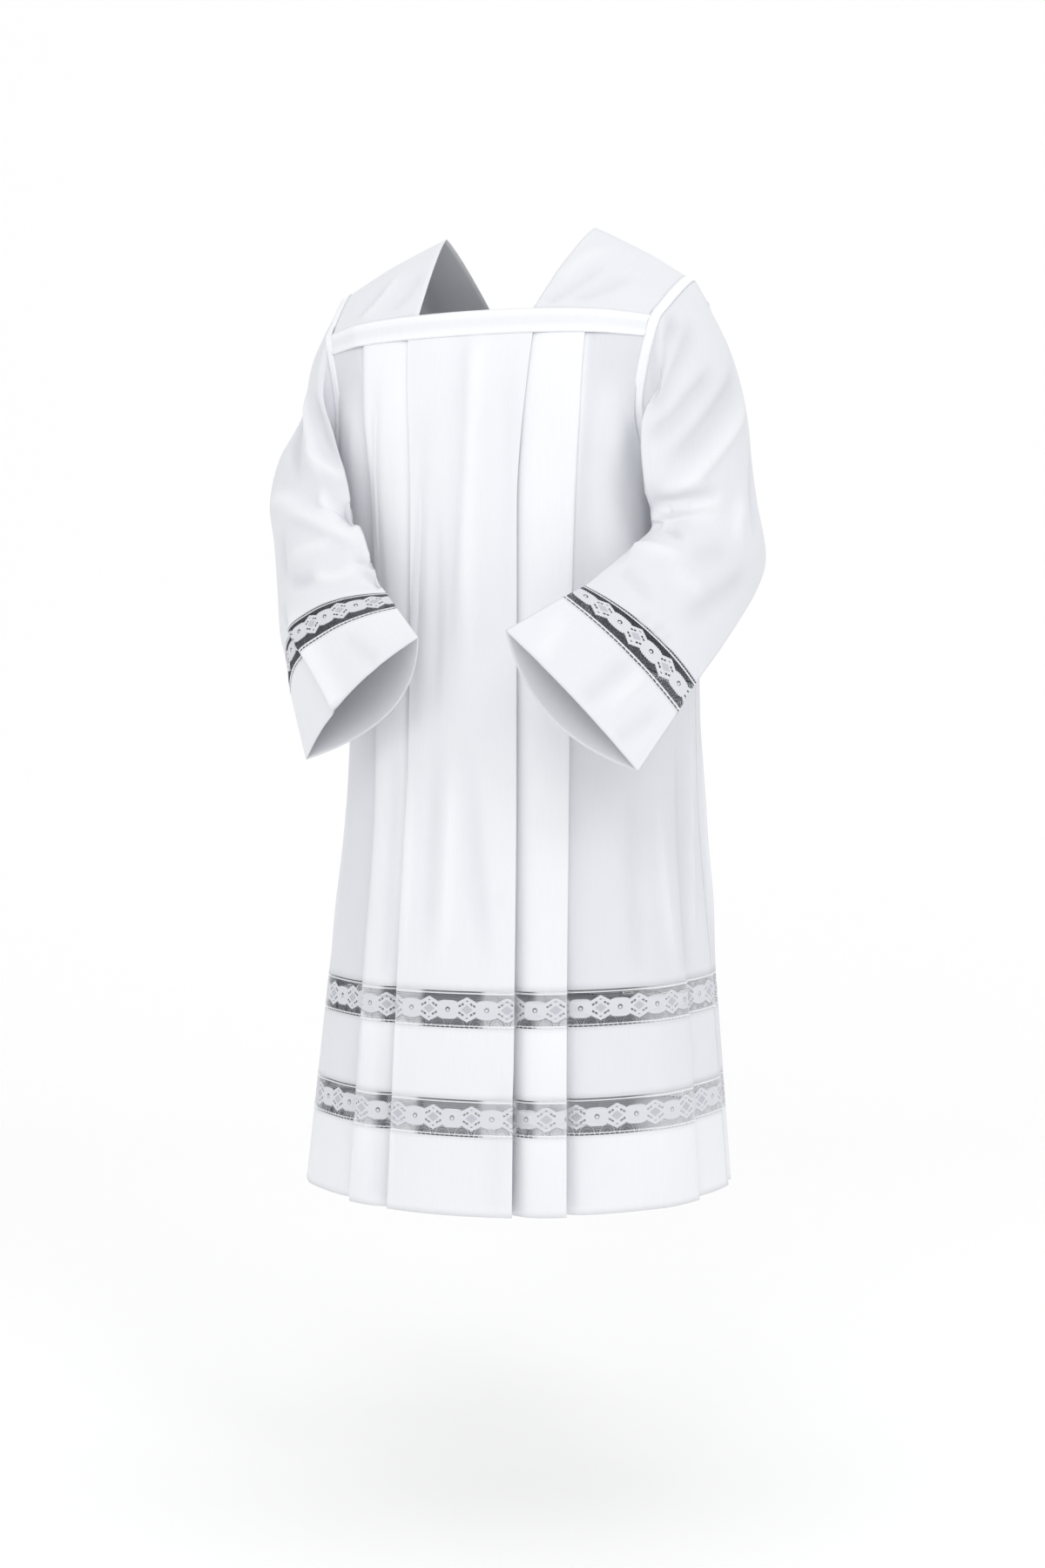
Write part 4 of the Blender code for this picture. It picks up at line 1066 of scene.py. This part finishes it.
def joined(polygons):
    """Flat polygons as their shared points, the numbers of each one's corners, and its edges."""
    numbers, flat, made, edges = {}, [], [], {}
    for polygon in polygons:
        corners = []
        for point in polygon:
            key = (round(point[0] * 1e6), round(point[1] * 1e6))
            if key not in numbers:
                numbers[key] = len(flat)
                flat.append(point)
            if numbers[key] not in corners:
                corners.append(numbers[key])
        if len(corners) < 3:
            continue
        pairs = zip(corners, corners[1:] + corners[:1])
        area = sum(flat[a][0] * flat[b][1] - flat[b][0] * flat[a][1] for a, b in pairs)
        corners = corners if area > 0 else corners[::-1]
        made.append(corners)
        edges.update(dict.fromkeys(zip(corners, corners[1:] + corners[:1])))
    return flat, made, edges


def lace(name, points, run, stretches, replaces, see_through_shade=1.0):
    """A lace band on a grid: worked motifs with their holes, net, fans and edge rails.

    sheer says how much painted shade the net's threads take in each column, for the dark seen
    through it: less where cloth lies close behind it.
    """
    see_through_shade = see_through_shade * np.ones(points.shape[1])
    place = placed_on(points, grid_normals(points), run)
    vertices, faces, opens, kinds = [], [], [], []

    def add_vertices(flat, above, is_open):
        start = sum(len(v) for v in vertices)
        vertices.append(place(np.array(flat, float), np.array(above, float)))
        opens.extend([is_open] * len(flat))
        return start

    for start, end, flower in stretches:
        shapes, threads = lace_run(start, end, flower)
        for is_open, thickness in ((0.0, CLOTHWORK), (1.0, OPEN_WORK)):
            flat, made, edges = joined([shape for shape, kind in shapes if kind == is_open])
            if not made:
                continue
            count = len(flat)
            above = [thickness / 2] * count + [-thickness / 2] * count
            first = add_vertices(flat * 2, above, is_open)
            for corners in made:
                faces.append([first + n for n in corners])
                faces.append([first + count + n for n in corners[::-1]])
            for a, b in edges:
                if (b, a) not in edges:
                    faces.append([first + b, first + a, first + count + a, first + count + b])
        kinds += [0] * (len(faces) - len(kinds))
        flat, above = [], []
        for u0, v0, u1, v1, thread, kind in threads:
            length = math.hypot(u1 - u0, v1 - v0)
            if length < 1e-5:
                continue
            x, y = (v0 - v1) / length * thread / 2, (u1 - u0) / length * thread / 2
            for u, v in ((u0, v0), (u1, v1)):
                flat += [(u + x, v + y), (u - x, v - y), (u, v)]
                above += [-thread * THREAD_EDGES] * 2 + [thread * THREAD_RIDGE]
            kinds += [int(kind)] * 5
        first = add_vertices(flat, above, 0.0)
        # The net's threads take painted shade by how little cloth lies behind them.
        opens[-len(flat):] = np.interp([u for u, _ in flat], run, see_through_shade)
        for n in range(first, first + len(flat), 6):
            faces += [
                (n, n + 2, n + 1), (n + 3, n + 4, n + 5), (n, n + 1, n + 4, n + 3),
                (n + 1, n + 2, n + 5, n + 4), (n + 2, n, n + 3, n + 5),
            ]
    materials = [CLOTHWORK_LACE, NET_LACE, EDGE_LACE]
    piece = new_piece(name, np.concatenate(vertices), faces, materials, replaces)
    piece.data.polygons.foreach_set("material_index", kinds)
    attribute = piece.data.attributes.new("open_work", "FLOAT", "POINT")
    attribute.data.foreach_set("value", opens)
    piece.data.polygons.foreach_set("use_smooth", [False] * len(faces))
    return piece


# --- Stitches ------------------------------------------------------------------------------

STITCH_PITCH = 0.0030
STITCH_LENGTH = 0.0022
STITCH_WIDTH = 0.00045
STITCH_RISE = 0.6  # of its width
BAND_STITCHES = 0.0007  # how far the stitches lie above the middle of a doubled band


def stitches(name, lines):
    """Rows of small sewn stitches along lines of points with their outward directions."""
    vertices, faces = [], []
    for points, normals in lines:
        run = np.concatenate([[0], np.cumsum(np.linalg.norm(np.diff(points, axis=0), axis=1))])
        starts = np.arange(STITCH_PITCH / 2, run[-1] - STITCH_LENGTH, STITCH_PITCH)

        def at(places, values):
            return np.stack([np.interp(places, run, values[:, n]) for n in range(3)], axis=-1)

        a, b = at(starts, points), at(starts + STITCH_LENGTH, points)
        up = unit(at(starts + STITCH_LENGTH / 2, normals))
        aside = unit(np.cross(b - a, up)) * STITCH_WIDTH / 2
        middle = (a + b) / 2
        rise = up * STITCH_WIDTH * STITCH_RISE
        first = len(vertices)
        corners = [a, b, middle + aside, middle - aside, middle + rise, middle - rise]
        vertices.extend(np.stack(corners, axis=1).reshape(-1, 3))
        for n in range(first, first + 6 * len(a), 6):
            for p, q in ((2, 4), (4, 3), (3, 5), (5, 2)):
                faces += [(n, n + p, n + q), (n + 1, n + q, n + p)]
    return new_piece(name, vertices, faces, [SEWING_THREAD])


def line_on(points, normals, row, share, above):
    """A line along a grid between two of its rows, raised above the surface."""
    line = points[row] * (1 - share) + points[row + 1] * share
    out = unit(normals[row] * (1 - share) + normals[row + 1] * share)
    return line + out * above, out


def round_line(points, normals, row, share):
    """The same round a closed grid, back to where it starts."""
    line, out = line_on(points, normals, row, share, CLOTH / 2)
    return np.concatenate([line, line[:1]]), np.concatenate([out, out[:1]])


# --- Materials -----------------------------------------------------------------------------

THREAD_PITCH = 0.0011  # a real one is about 0.35 mm, too fine to show


def linear(hex_colour):
    """An sRGB hex colour as linear red, green, blue and alpha."""
    values = [int(hex_colour[n:n + 2], 16) / 255 for n in (1, 3, 5)]
    values = [v / 12.92 if v <= 0.04045 else ((v + 0.055) / 1.055) ** 2.4 for v in values]
    return (*values, 1.0)


def add_node(tree, kind, inputs=None, **settings):
    """A node with its settings; an input is a value, or (node, output) to link from."""
    made = tree.nodes.new(kind)
    for name, value in settings.items():
        setattr(made, name, value)
    for name, value in (inputs or {}).items():
        if isinstance(value, tuple) and isinstance(value[0], bpy.types.Node):
            tree.links.new(value[0].outputs[value[1]], made.inputs[name])
        else:
            made.inputs[name].default_value = value
    return made


def fresh_material(name):
    material = bpy.data.materials.new(name)
    material.use_nodes = True
    tree = material.node_tree
    tree.nodes.clear()
    return material, tree


def wave_scale(period):
    """The Wave node's scale for a period in metres."""
    return 2 * math.pi / 20 / period


def two_tints(tree, attribute, first, second):
    """One tint where the piece's attribute is 0, the other where it is 1."""
    share = add_node(tree, "ShaderNodeAttribute", attribute_name=attribute)
    return add_node(
        tree, "ShaderNodeMix",
        {"Factor": (share, "Fac"), "A": linear(first), "B": linear(second)},
        data_type="RGBA",
    )


def uneven(tree, tint, pattern, least, low=0.0, high=1.0):
    """The tint made a little darker, down to least, as a pattern falls from high to low."""
    shade = add_node(
        tree, "ShaderNodeMapRange",
        {
            "Value": (pattern, "Fac"), "From Min": low, "From Max": high,
            "To Min": least, "To Max": 1.0,
        },
    )
    return add_node(
        tree, "ShaderNodeMix",
        {"Factor": 1.0, "A": (tint, "Result"), "B": (shade, "Result")},
        data_type="RGBA", blend_type="MULTIPLY",
    )


def surface(tree, inputs):
    """The surface of a material, joined to its output."""
    shader = add_node(tree, "ShaderNodeBsdfPrincipled", inputs)
    add_node(tree, "ShaderNodeOutputMaterial", {"Surface": (shader, "BSDF")})


def woven_cloth(name, shaded, doubled_and_highlit):
    """Fine plain-weave polyester and cotton: matt, faintly see-through and cool where it is one
    layer, whiter where it is doubled, with threads drawn about three times too coarse. Its darker
    tint is painted shade, in troughs and where it hangs with nothing behind it, and the paler one
    also takes painted highlight on ridges."""
    material, tree = fresh_material(name)
    coordinates = add_node(tree, "ShaderNodeTexCoord")
    cut = add_node(tree, "ShaderNodeUVMap", uv_map="cut")
    cloudy = add_node(  # patches about 110 mm across
        tree, "ShaderNodeTexNoise",
        {"Vector": (coordinates, "Object"), "Scale": 9.0, "Detail": 3.0},
    )
    streaks = add_node(  # slubs 1.1 mm wide and 40 mm long
        tree, "ShaderNodeMapping", {"Vector": (cut, "UV"), "Scale": (900.0, 25.0, 1.0)}
    )
    slubs = add_node(
        tree, "ShaderNodeTexNoise", {"Vector": (streaks, "Vector"), "Scale": 1.0, "Detail": 2.0}
    )
    tint = two_tints(tree, "layers", shaded, doubled_and_highlit)
    for pattern in (cloudy, slubs):
        tint = uneven(tree, tint, pattern, 0.975, 0.3, 0.7)
    thread = {
        "Vector": (cut, "UV"), "Scale": wave_scale(THREAD_PITCH), "Distortion": 0.4,
        "Detail": 1.0,
    }
    weft = add_node(tree, "ShaderNodeTexWave", thread, bands_direction="X")
    warp = add_node(tree, "ShaderNodeTexWave", thread, bands_direction="Y")
    weave = add_node(
        tree, "ShaderNodeMath", {0: (weft, "Fac"), 1: (warp, "Fac")}, operation="ADD"
    )
    bump = add_node(
        tree, "ShaderNodeBump",
        {"Height": (weave, "Value"), "Strength": 0.18, "Distance": 0.00012},
    )
    surface(tree, {
        "Base Color": (tint, "Result"), "Normal": (bump, "Normal"), "Roughness": 0.82,
        "Sheen Weight": 0.12, "Sheen Roughness": 0.5, "Specular IOR Level": 0.25,
    })
    return material


def lace_thread(name, close, open_work, period):
    """Bright spun nylon of a machine-made lace: matt rows of thread, a little uneven, with a
    second tint where it is open, which for the net and the motifs is darker: painted shade of the
    dark seen through it.
    """
    material, tree = fresh_material(name)
    coordinates = add_node(tree, "ShaderNodeTexCoord")
    rows = add_node(
        tree, "ShaderNodeTexWave",
        {
            "Vector": (coordinates, "Object"), "Scale": wave_scale(period), "Distortion": 1.5,
            "Detail": 1.0, "Detail Scale": 2.0,
        },
        bands_direction="DIAGONAL",
    )
    tint = uneven(tree, two_tints(tree, "open_work", close, open_work), rows, 0.93)
    bump = add_node(
        tree, "ShaderNodeBump", {"Height": (rows, "Fac"), "Strength": 0.4, "Distance": 0.0002}
    )
    surface(tree, {
        "Base Color": (tint, "Result"), "Normal": (bump, "Normal"), "Roughness": 0.6,
        "Specular IOR Level": 0.35,
    })
    return material


# Polyester and cotton lawn, for everything but the lace: single cloth lies halfway between its
# tints, doubled cloth and painted highlight towards the paler, painted shade towards the darker
LAWN = woven_cloth("white_poly_cotton_lawn", "#C8CAD1", "#EFF0F3")
# Nylon lace: its worked motifs, its net with the fans, and its rails and bars; the darker second
# tint of the motifs' open work and of the net is painted shade of the dark seen through them
CLOTHWORK_LACE = lace_thread("white_nylon_lace_clothwork", "#D4D5DA", "#BCBDC5", 0.0016)
NET_LACE = lace_thread("white_nylon_lace_net", "#F0F1F4", "#4C4E54", 0.0012)
EDGE_LACE = lace_thread("white_nylon_lace_edging", "#F4F5F8", "#F4F5F8", 0.0012)
# Polyester thread, for the rows of stitches
SEWING_THREAD = lace_thread("white_polyester_sewing_thread", "#FFFFFF", "#FFFFFF", 0.0008)
MOTIFS, THREADS = motif_triangles(), net_threads()

# --- The body's pieces ---------------------------------------------------------------------

# Where a flower lies: from the middle of the centre panel, in from the second fold on the
# pleat's panel, and out from the second fold on the side panel, for each side (-X, +X)
FLOWERS = {
    "lace_upper": {"centre": -0.0044, "pleat": (0.0185, 0.036), "side": (0.013, 0.018)},
    "lace_lower": {"centre": 0.0050, "pleat": (0.037, 0.046), "side": (0.030, 0.037)},
}

SLEEVE_FLOWER = 0.012  # from the start of a sleeve's band


def heights_between(top, bottom, rows):
    """Level rows: their heights, and 0 for how far they follow the band's curved seam."""
    return [(z, 0.0) for z in np.linspace(top, bottom, rows)]


def panel_heights(face):
    """The heights of a panel's rows, and how far each follows the band's curved seam."""
    table = ARMHOLE_FRONT if face == "front" else ARMHOLE_BACK
    first = max(table["z"][:ARMHOLE_SEAM_ROWS])
    seam = band_edge_z(BAND_END_X / 2, face, True)
    steps = np.linspace(0, 1, NEAR_BAND_ROWS)[:-1]
    near = [(seam + (first - seam) * t, 1 - t) for t in steps]
    rows = round((first - table["z"][0]) / ROW_HEIGHT)
    arm = heights_between(first, table["z"][0], rows)
    arm += heights_between(table["z"][0], UNDERARM_Z, UNDERARM_ROWS)[1:-1]
    below = round((UNDERARM_Z - UPPER_LACE_TOP) / ROW_HEIGHT)
    return near + arm + heights_between(UNDERARM_Z, UPPER_LACE_TOP, below)


def body_stretches(face, run, columns, kind):
    """The visible and tucked stretches of a lace band, each with the place of a flower."""
    middle = columns // 2
    lip1, inner1, _, lip2, inner2, open2 = fold_marks()
    flowers = FLOWERS[kind]
    order = 1 if face == "front" else -1

    def at(mark):
        return float(np.interp(mark, np.arange(columns), run))

    ends = [at(middle - lip1), at(middle + lip1)]
    phase = sum(ends) / 2 + order * flowers["centre"]
    stretches = [(*ends, phase)]
    for side in (-1, 1):
        which = (side * order + 1) // 2
        l1, i1, l2, i2, o2 = (at(middle + side * m) for m in (lip1, inner1, lip2, inner2, open2))
        last = at(columns - 1 if side > 0 else 0)
        pleat = l2 - side * flowers["pleat"][which]
        outer = o2 + side * flowers["side"][which]
        for a, b, flower in ((l1, i1, phase), (i1, l2, pleat), (l2, i2, pleat), (i2, last, outer)):
            stretches.append((min(a, b), max(a, b), flower))
    return stretches


def fold_marks():
    """Columns of one half at each lip, inner fold and open start, counted from the centre."""
    lip, tuck = LIP_STEPS + 1, TUCK_STEPS - 1
    marks, at = [], CENTRE_STEPS
    for _ in range(2):
        marks.append(at + LIP_STEPS / 2)
        at += lip + tuck
        marks.append(at + LIP_STEPS / 2)
        at += lip + tuck
        marks.append(at)
        at += PLEAT_STEPS
    return marks


def uncovered(places, face):
    """How little cloth lies behind the net in each column of a row: 1 is none."""
    z = places[0, 0, 1]
    distance = abs(places[0, :, 0] - (read(PLEATS, "swing", z) if face == "front" else 0))
    round_side = distance - read(PLEATS, "second_fold", z) - ROUND_THE_SIDE
    behind = np.clip(round_side / ROUND_WIDTH, 0, ROUND_COVER)
    for fold in ("first_fold", "second_fold"):
        inward = read(PLEATS, fold, z) + LIP_REACH - distance
        under = np.clip((UNDER_FOLD - inward) / UNDER_FADE, 0, 1) * (inward > 0)
        behind = np.maximum(behind, under)
    return 1 - behind


def between(ends, share):
    """A value part of the way from the first of two to the second."""
    return ends[0] + (ends[1] - ends[0]) * share


def body_tone(places, top, bottom):
    """How doubled the cloth looks: the centre and the pleats are whiter than the sides. The sides'
    tone below single cloth and the pleats' darkening towards the bottom are painted shade.
    """
    distance, z = abs(places[..., 0]), places[..., 1]
    low = np.clip((z - top) / (bottom - top), 0, 1)
    tone = between(CENTRE_TONES, low)
    for fold, tones, past, width in (
        ("first_fold", PLEAT_TONES, 0.001, 0.001), ("second_fold", SIDE_TONES, 0.002, 0.0015),
    ):
        beyond = 1 / (1 + np.exp(-(distance - read(PLEATS, fold, z) - past) / width))
        tone = tone * (1 - beyond) + between(tones, low) * beyond
    return tone


sewn = {"body": [], "yoke": [], "sleeves": []}
for face in ("front", "back"):
    folds, mirror = (FRONT_FOLDS, 1) if face == "front" else (BACK_FOLDS, -1)
    points, places = body_grid(face, panel_heights(face))
    panel_points, rise = pressed(points, places, folds, mirror)
    # The panel's tone: how doubled it is with painted shade, and painted highlight and shade on
    # its folds.
    tone = body_tone(places, TONES_FROM, UPPER_LACE_TOP) + painted_fold_light(rise)
    panel = cloth(
        f"{face}_panel_cloth", panel_points, tone, LAWN, [f"{face}_panel"], places=places
    )
    normals = grid_normals(panel_points)
    sewn["body"].append(line_on(panel_points, normals, -2, 0.85, CLOTH / 2))
    for band, top, bottom, rows in (
        ("lace_upper", UPPER_LACE_TOP, UPPER_LACE_BOTTOM, 6),
        ("strip", UPPER_LACE_BOTTOM, LOWER_LACE_TOP, 11),
        ("lace_lower", LOWER_LACE_TOP, LOWER_LACE_BOTTOM, 6),
        ("hem", LOWER_LACE_BOTTOM, HEM_Z, 12),
    ):
        points, places = body_grid(face, heights_between(top, bottom, rows))
        points, rise = pressed(points, places, folds, mirror)
        if band in FLOWERS:
            across, _ = lengths_across(points)
            stretches = body_stretches(face, across, points.shape[1], band)
            # The net's threads carry painted shade where no cloth lies behind them.
            piece = lace(
                f"{face}_{band}_net", points, across, stretches, [f"{face}_{band}"],
                uncovered(places, face),
            )
            continue
        least = HEM_TONE if band == "hem" else STRIP_TONE
        # Painted highlight and painted shade on the folds, over how doubled the cloth is.
        tone = np.maximum(body_tone(places, top, bottom), least) + painted_fold_light(rise)
        piece = cloth(
            f"{face}_{band}_cloth", points, tone, LAWN, [f"{face}_{band}"], places=places
        )
        normals = grid_normals(points)
        sewn["body"].append(line_on(points, normals, 0, 0.2, CLOTH / 2))
        if band == "strip":
            sewn["body"].append(line_on(points, normals, -2, 0.8, CLOTH / 2))
    band = yoke_band(face)
    piece = cloth(
        f"{face}_yoke_band_cloth", band, np.array(BAND_TONES)[:, None], LAWN,
        [f"{face}_yoke_band"], thickness=DOUBLED_CLOTH,
    )
    normals = grid_normals(band)
    for row, share in ((1, 0.3), (6, 0.7)):
        sewn["yoke"].append(line_on(band, normals, row, share, BAND_STITCHES))

# --- Shoulders and sleeves -----------------------------------------------------------------

for side, sign, table, deep_folds, soft_folds, yoke_folds in (
    (
        "left", 1, LEFT_SLEEVE, LEFT_FOLDS, LEFT_SLEEVE_FOLDS + LEFT_CUFF_FOLDS,
        LEFT_YOKE_FOLDS,
    ),
    (
        "right", -1, RIGHT_SLEEVE, RIGHT_FOLDS, RIGHT_SLEEVE_FOLDS + RIGHT_CUFF_FOLDS,
        RIGHT_YOKE_FOLDS,
    ),
):
    cuff_tone = CUFF_TONES[side]
    flip = slice(None, None, -1) if sign > 0 else slice(None)
    yoke = shoulder_yoke(side, FINE_SHOULDER_STEPS, FINE_YOKE_CELLS) * (sign, 1, 1)
    place = on_patch(yoke)
    yoke, rise = creased(yoke[::-1] if sign > 0 else yoke, place, yoke_folds)
    # Painted highlight and painted shade on the yoke's folds.
    tone = YOKE_TONE + painted_fold_light(rise)
    tone[:, :1] = NECK_EDGE_TONE
    piece = cloth(f"shoulder_yoke_{side}_cloth", yoke, tone, LAWN, [f"shoulder_yoke_{side}"])
    edge = np.swapaxes(yoke, 0, 1)
    sewn["yoke"].append(line_on(edge, np.swapaxes(grid_normals(yoke), 0, 1), 0, 0.9, CLOTH / 2))

    inner = armhole_loop(side)
    outer = strip_loop(inner)
    rings = sleeve_rings(smooth_loop(outer * (sign, 1, 1), RING_FINENESS), table, sign)
    inner, outer = (smooth_loop(loop * (sign, 1, 1), RING_FINENESS) for loop in (inner, outer))
    shares = np.linspace(-STRIP_OVERLAP, 1.0, 5)[:, None, None]
    strip = (inner[None] * (1 - shares) + outer[None] * shares)[:, flip]
    strip = strip + grid_normals(strip, True) * SEWN_ON
    piece = cloth(
        f"armhole_strip_{side}_cloth", strip, 1.0, LAWN, [f"armhole_strip_{side}"], True,
        DOUBLED_CLOTH,
    )
    normals = grid_normals(strip, True)
    sewn["sleeves"] += [round_line(strip, normals, 1, 0.1), round_line(strip, normals, 3, 0.8)]

    sleeve, positions = sleeve_grid(rings, 0, LACE_FROM, deep_folds)
    sleeve, rise = creased(sleeve[:, flip], on_rings(rings), soft_folds, True)
    tone = np.interp(
        positions, (0, ELBOW_AT, LACE_FROM), (0.0, 0.0, cuff_tone - SLEEVE_END_FALL)
    )
    # Painted highlight and painted shade on the sleeve's folds.
    sleeve_piece = cloth(
        f"sleeve_{side}_cloth", sleeve, tone[:, None] + painted_fold_light(rise), LAWN,
        [f"sleeve_{side}_front", f"sleeve_{side}_back"], True,
    )
    sewn["sleeves"].append(round_line(sleeve, grid_normals(sleeve, True), -2, 0.7))
    band, _ = sleeve_grid(rings, LACE_FROM, CUFF_FROM)
    band = creased(band[:, flip], on_rings(rings), soft_folds, True)[0][:, flip]
    band = np.roll(band, band.shape[1] // 4, axis=1)
    band = np.concatenate([band, band[:, :1]], axis=1)
    half = band.shape[1] // 2
    for name, part in (("front", band[:, :half + 1]), ("back", band[:, half:])):
        part = part[:, flip]
        across, _ = lengths_across(part)
        # No cloth is given behind the sleeve's lace, so its whole net carries painted shade.
        lace(
                f"sleeve_lace_{side}_{name}_net", part, across,
                [(0.0, across[-1], SLEEVE_FLOWER)], [f"sleeve_lace_{side}_{name}"],
            )
    cuff, _ = sleeve_grid(rings, CUFF_FROM, CUFF_FROM + 1)
    cuff, rise = creased(cuff[:, flip], on_rings(rings), soft_folds, True)
    # Painted highlight and painted shade on the cuff's folds.
    piece = cloth(
        f"cuff_{side}_cloth", cuff, cuff_tone + painted_fold_light(rise), LAWN, [f"cuff_{side}"], True
    )
    sewn["sleeves"].append(round_line(cuff, grid_normals(cuff, True), 0, 0.3))

# --- Stitching, floor, light and camera ----------------------------------------------------

# Rows of stitches beside the seams
for name, lines in sewn.items():
    stitches(f"{name}_stitching", lines)

STUDIO_TURN = math.radians(20)  # the camera stands this far towards the wearer's left
FLOOR_Z, FLOOR_NEAR, FLOOR_FAR, FLOOR_HALF_WIDTH = -1.50, -4.0, 2.5, 7.0
SWEEP_RADIUS, BACKDROP_TOP = 1.5, 6.0

sweep = [(FLOOR_NEAR, 0.0), (FLOOR_FAR, 0.0)]
for t in np.linspace(0.1, math.pi / 2, 16):
    away, up = math.sin(t), 1 - math.cos(t)
    sweep.append((FLOOR_FAR + SWEEP_RADIUS * away, SWEEP_RADIUS * up))
sweep.append((FLOOR_FAR + SWEEP_RADIUS, BACKDROP_TOP))
floor_points, floor_faces = [], []
for n, (away, up) in enumerate(sweep):
    for across in (-FLOOR_HALF_WIDTH, FLOOR_HALF_WIDTH):
        x = across * math.cos(STUDIO_TURN) - away * math.sin(STUDIO_TURN)
        y = across * math.sin(STUDIO_TURN) + away * math.cos(STUDIO_TURN)
        floor_points.append((x, y, FLOOR_Z + up))
    if n:
        a = 2 * n - 2
        floor_faces.append((a, a + 1, a + 3, a + 2))
floor_mesh = bpy.data.meshes.new("studio_floor")
floor_mesh.from_pydata(floor_points, [], floor_faces)
floor_mesh.shade_smooth()
floor = bpy.data.objects.new("studio_floor", floor_mesh)
bpy.context.scene.collection.objects.link(floor)
# Matt white paper, in one sweep from the floor up the wall
paper, tree = fresh_material("white_paper_backdrop")
surface(tree, {"Base Color": linear("#FBFBFB"), "Roughness": 0.95})
floor_mesh.materials.append(paper)

world = bpy.data.worlds.new("studio")
bpy.context.scene.world = world
world.use_nodes = True
world.node_tree.nodes["Background"].inputs["Color"].default_value = linear("#FFFFFF")
world.node_tree.nodes["Background"].inputs["Strength"].default_value = 1.0


def soft_box(name, place, size, power):
    """A square white light at a place, turned to shine at the middle of the surplice."""
    light = bpy.data.lights.new(name, "AREA")
    light.shape, light.size, light.energy = "SQUARE", size, power
    lamp = bpy.data.objects.new(name, light)
    lamp.location = place
    away = np.array(place) - LIT_POINT
    tilt = math.atan2(math.hypot(away[0], away[1]), away[2])
    lamp.rotation_euler = (tilt, 0, math.atan2(away[1], away[0]) + math.pi / 2)
    bpy.context.scene.collection.objects.link(lamp)


LIT_POINT = (0, 0, -0.4)
soft_box("key", (2.2, -2.0, 1.2), 1.0, 12.0)
soft_box("fill", (0.5, -2.7, 0.9), 1.2, 10.5)

CAMERA_DISTANCE, CAMERA_Z = 2.9, -0.616
CAMERA_SENSOR, CAMERA_LENS = 36, 55.24  # mm
CAMERA_SHIFT = (2.5 / 1800, -0.025)  # as shares of the frame's height
lens = bpy.data.cameras.new("camera")
lens.sensor_width, lens.lens = CAMERA_SENSOR, CAMERA_LENS
lens.shift_x, lens.shift_y = CAMERA_SHIFT
camera = bpy.data.objects.new("camera", lens)
x, y = CAMERA_DISTANCE * math.sin(STUDIO_TURN), -CAMERA_DISTANCE * math.cos(STUDIO_TURN)
camera.location = (x, y, CAMERA_Z)
camera.rotation_euler = (math.pi / 2, 0, STUDIO_TURN)
bpy.context.scene.collection.objects.link(camera)
bpy.context.scene.camera = camera
bpy.context.scene.view_settings.view_transform = "Standard"

bpy.context.view_layer.update()
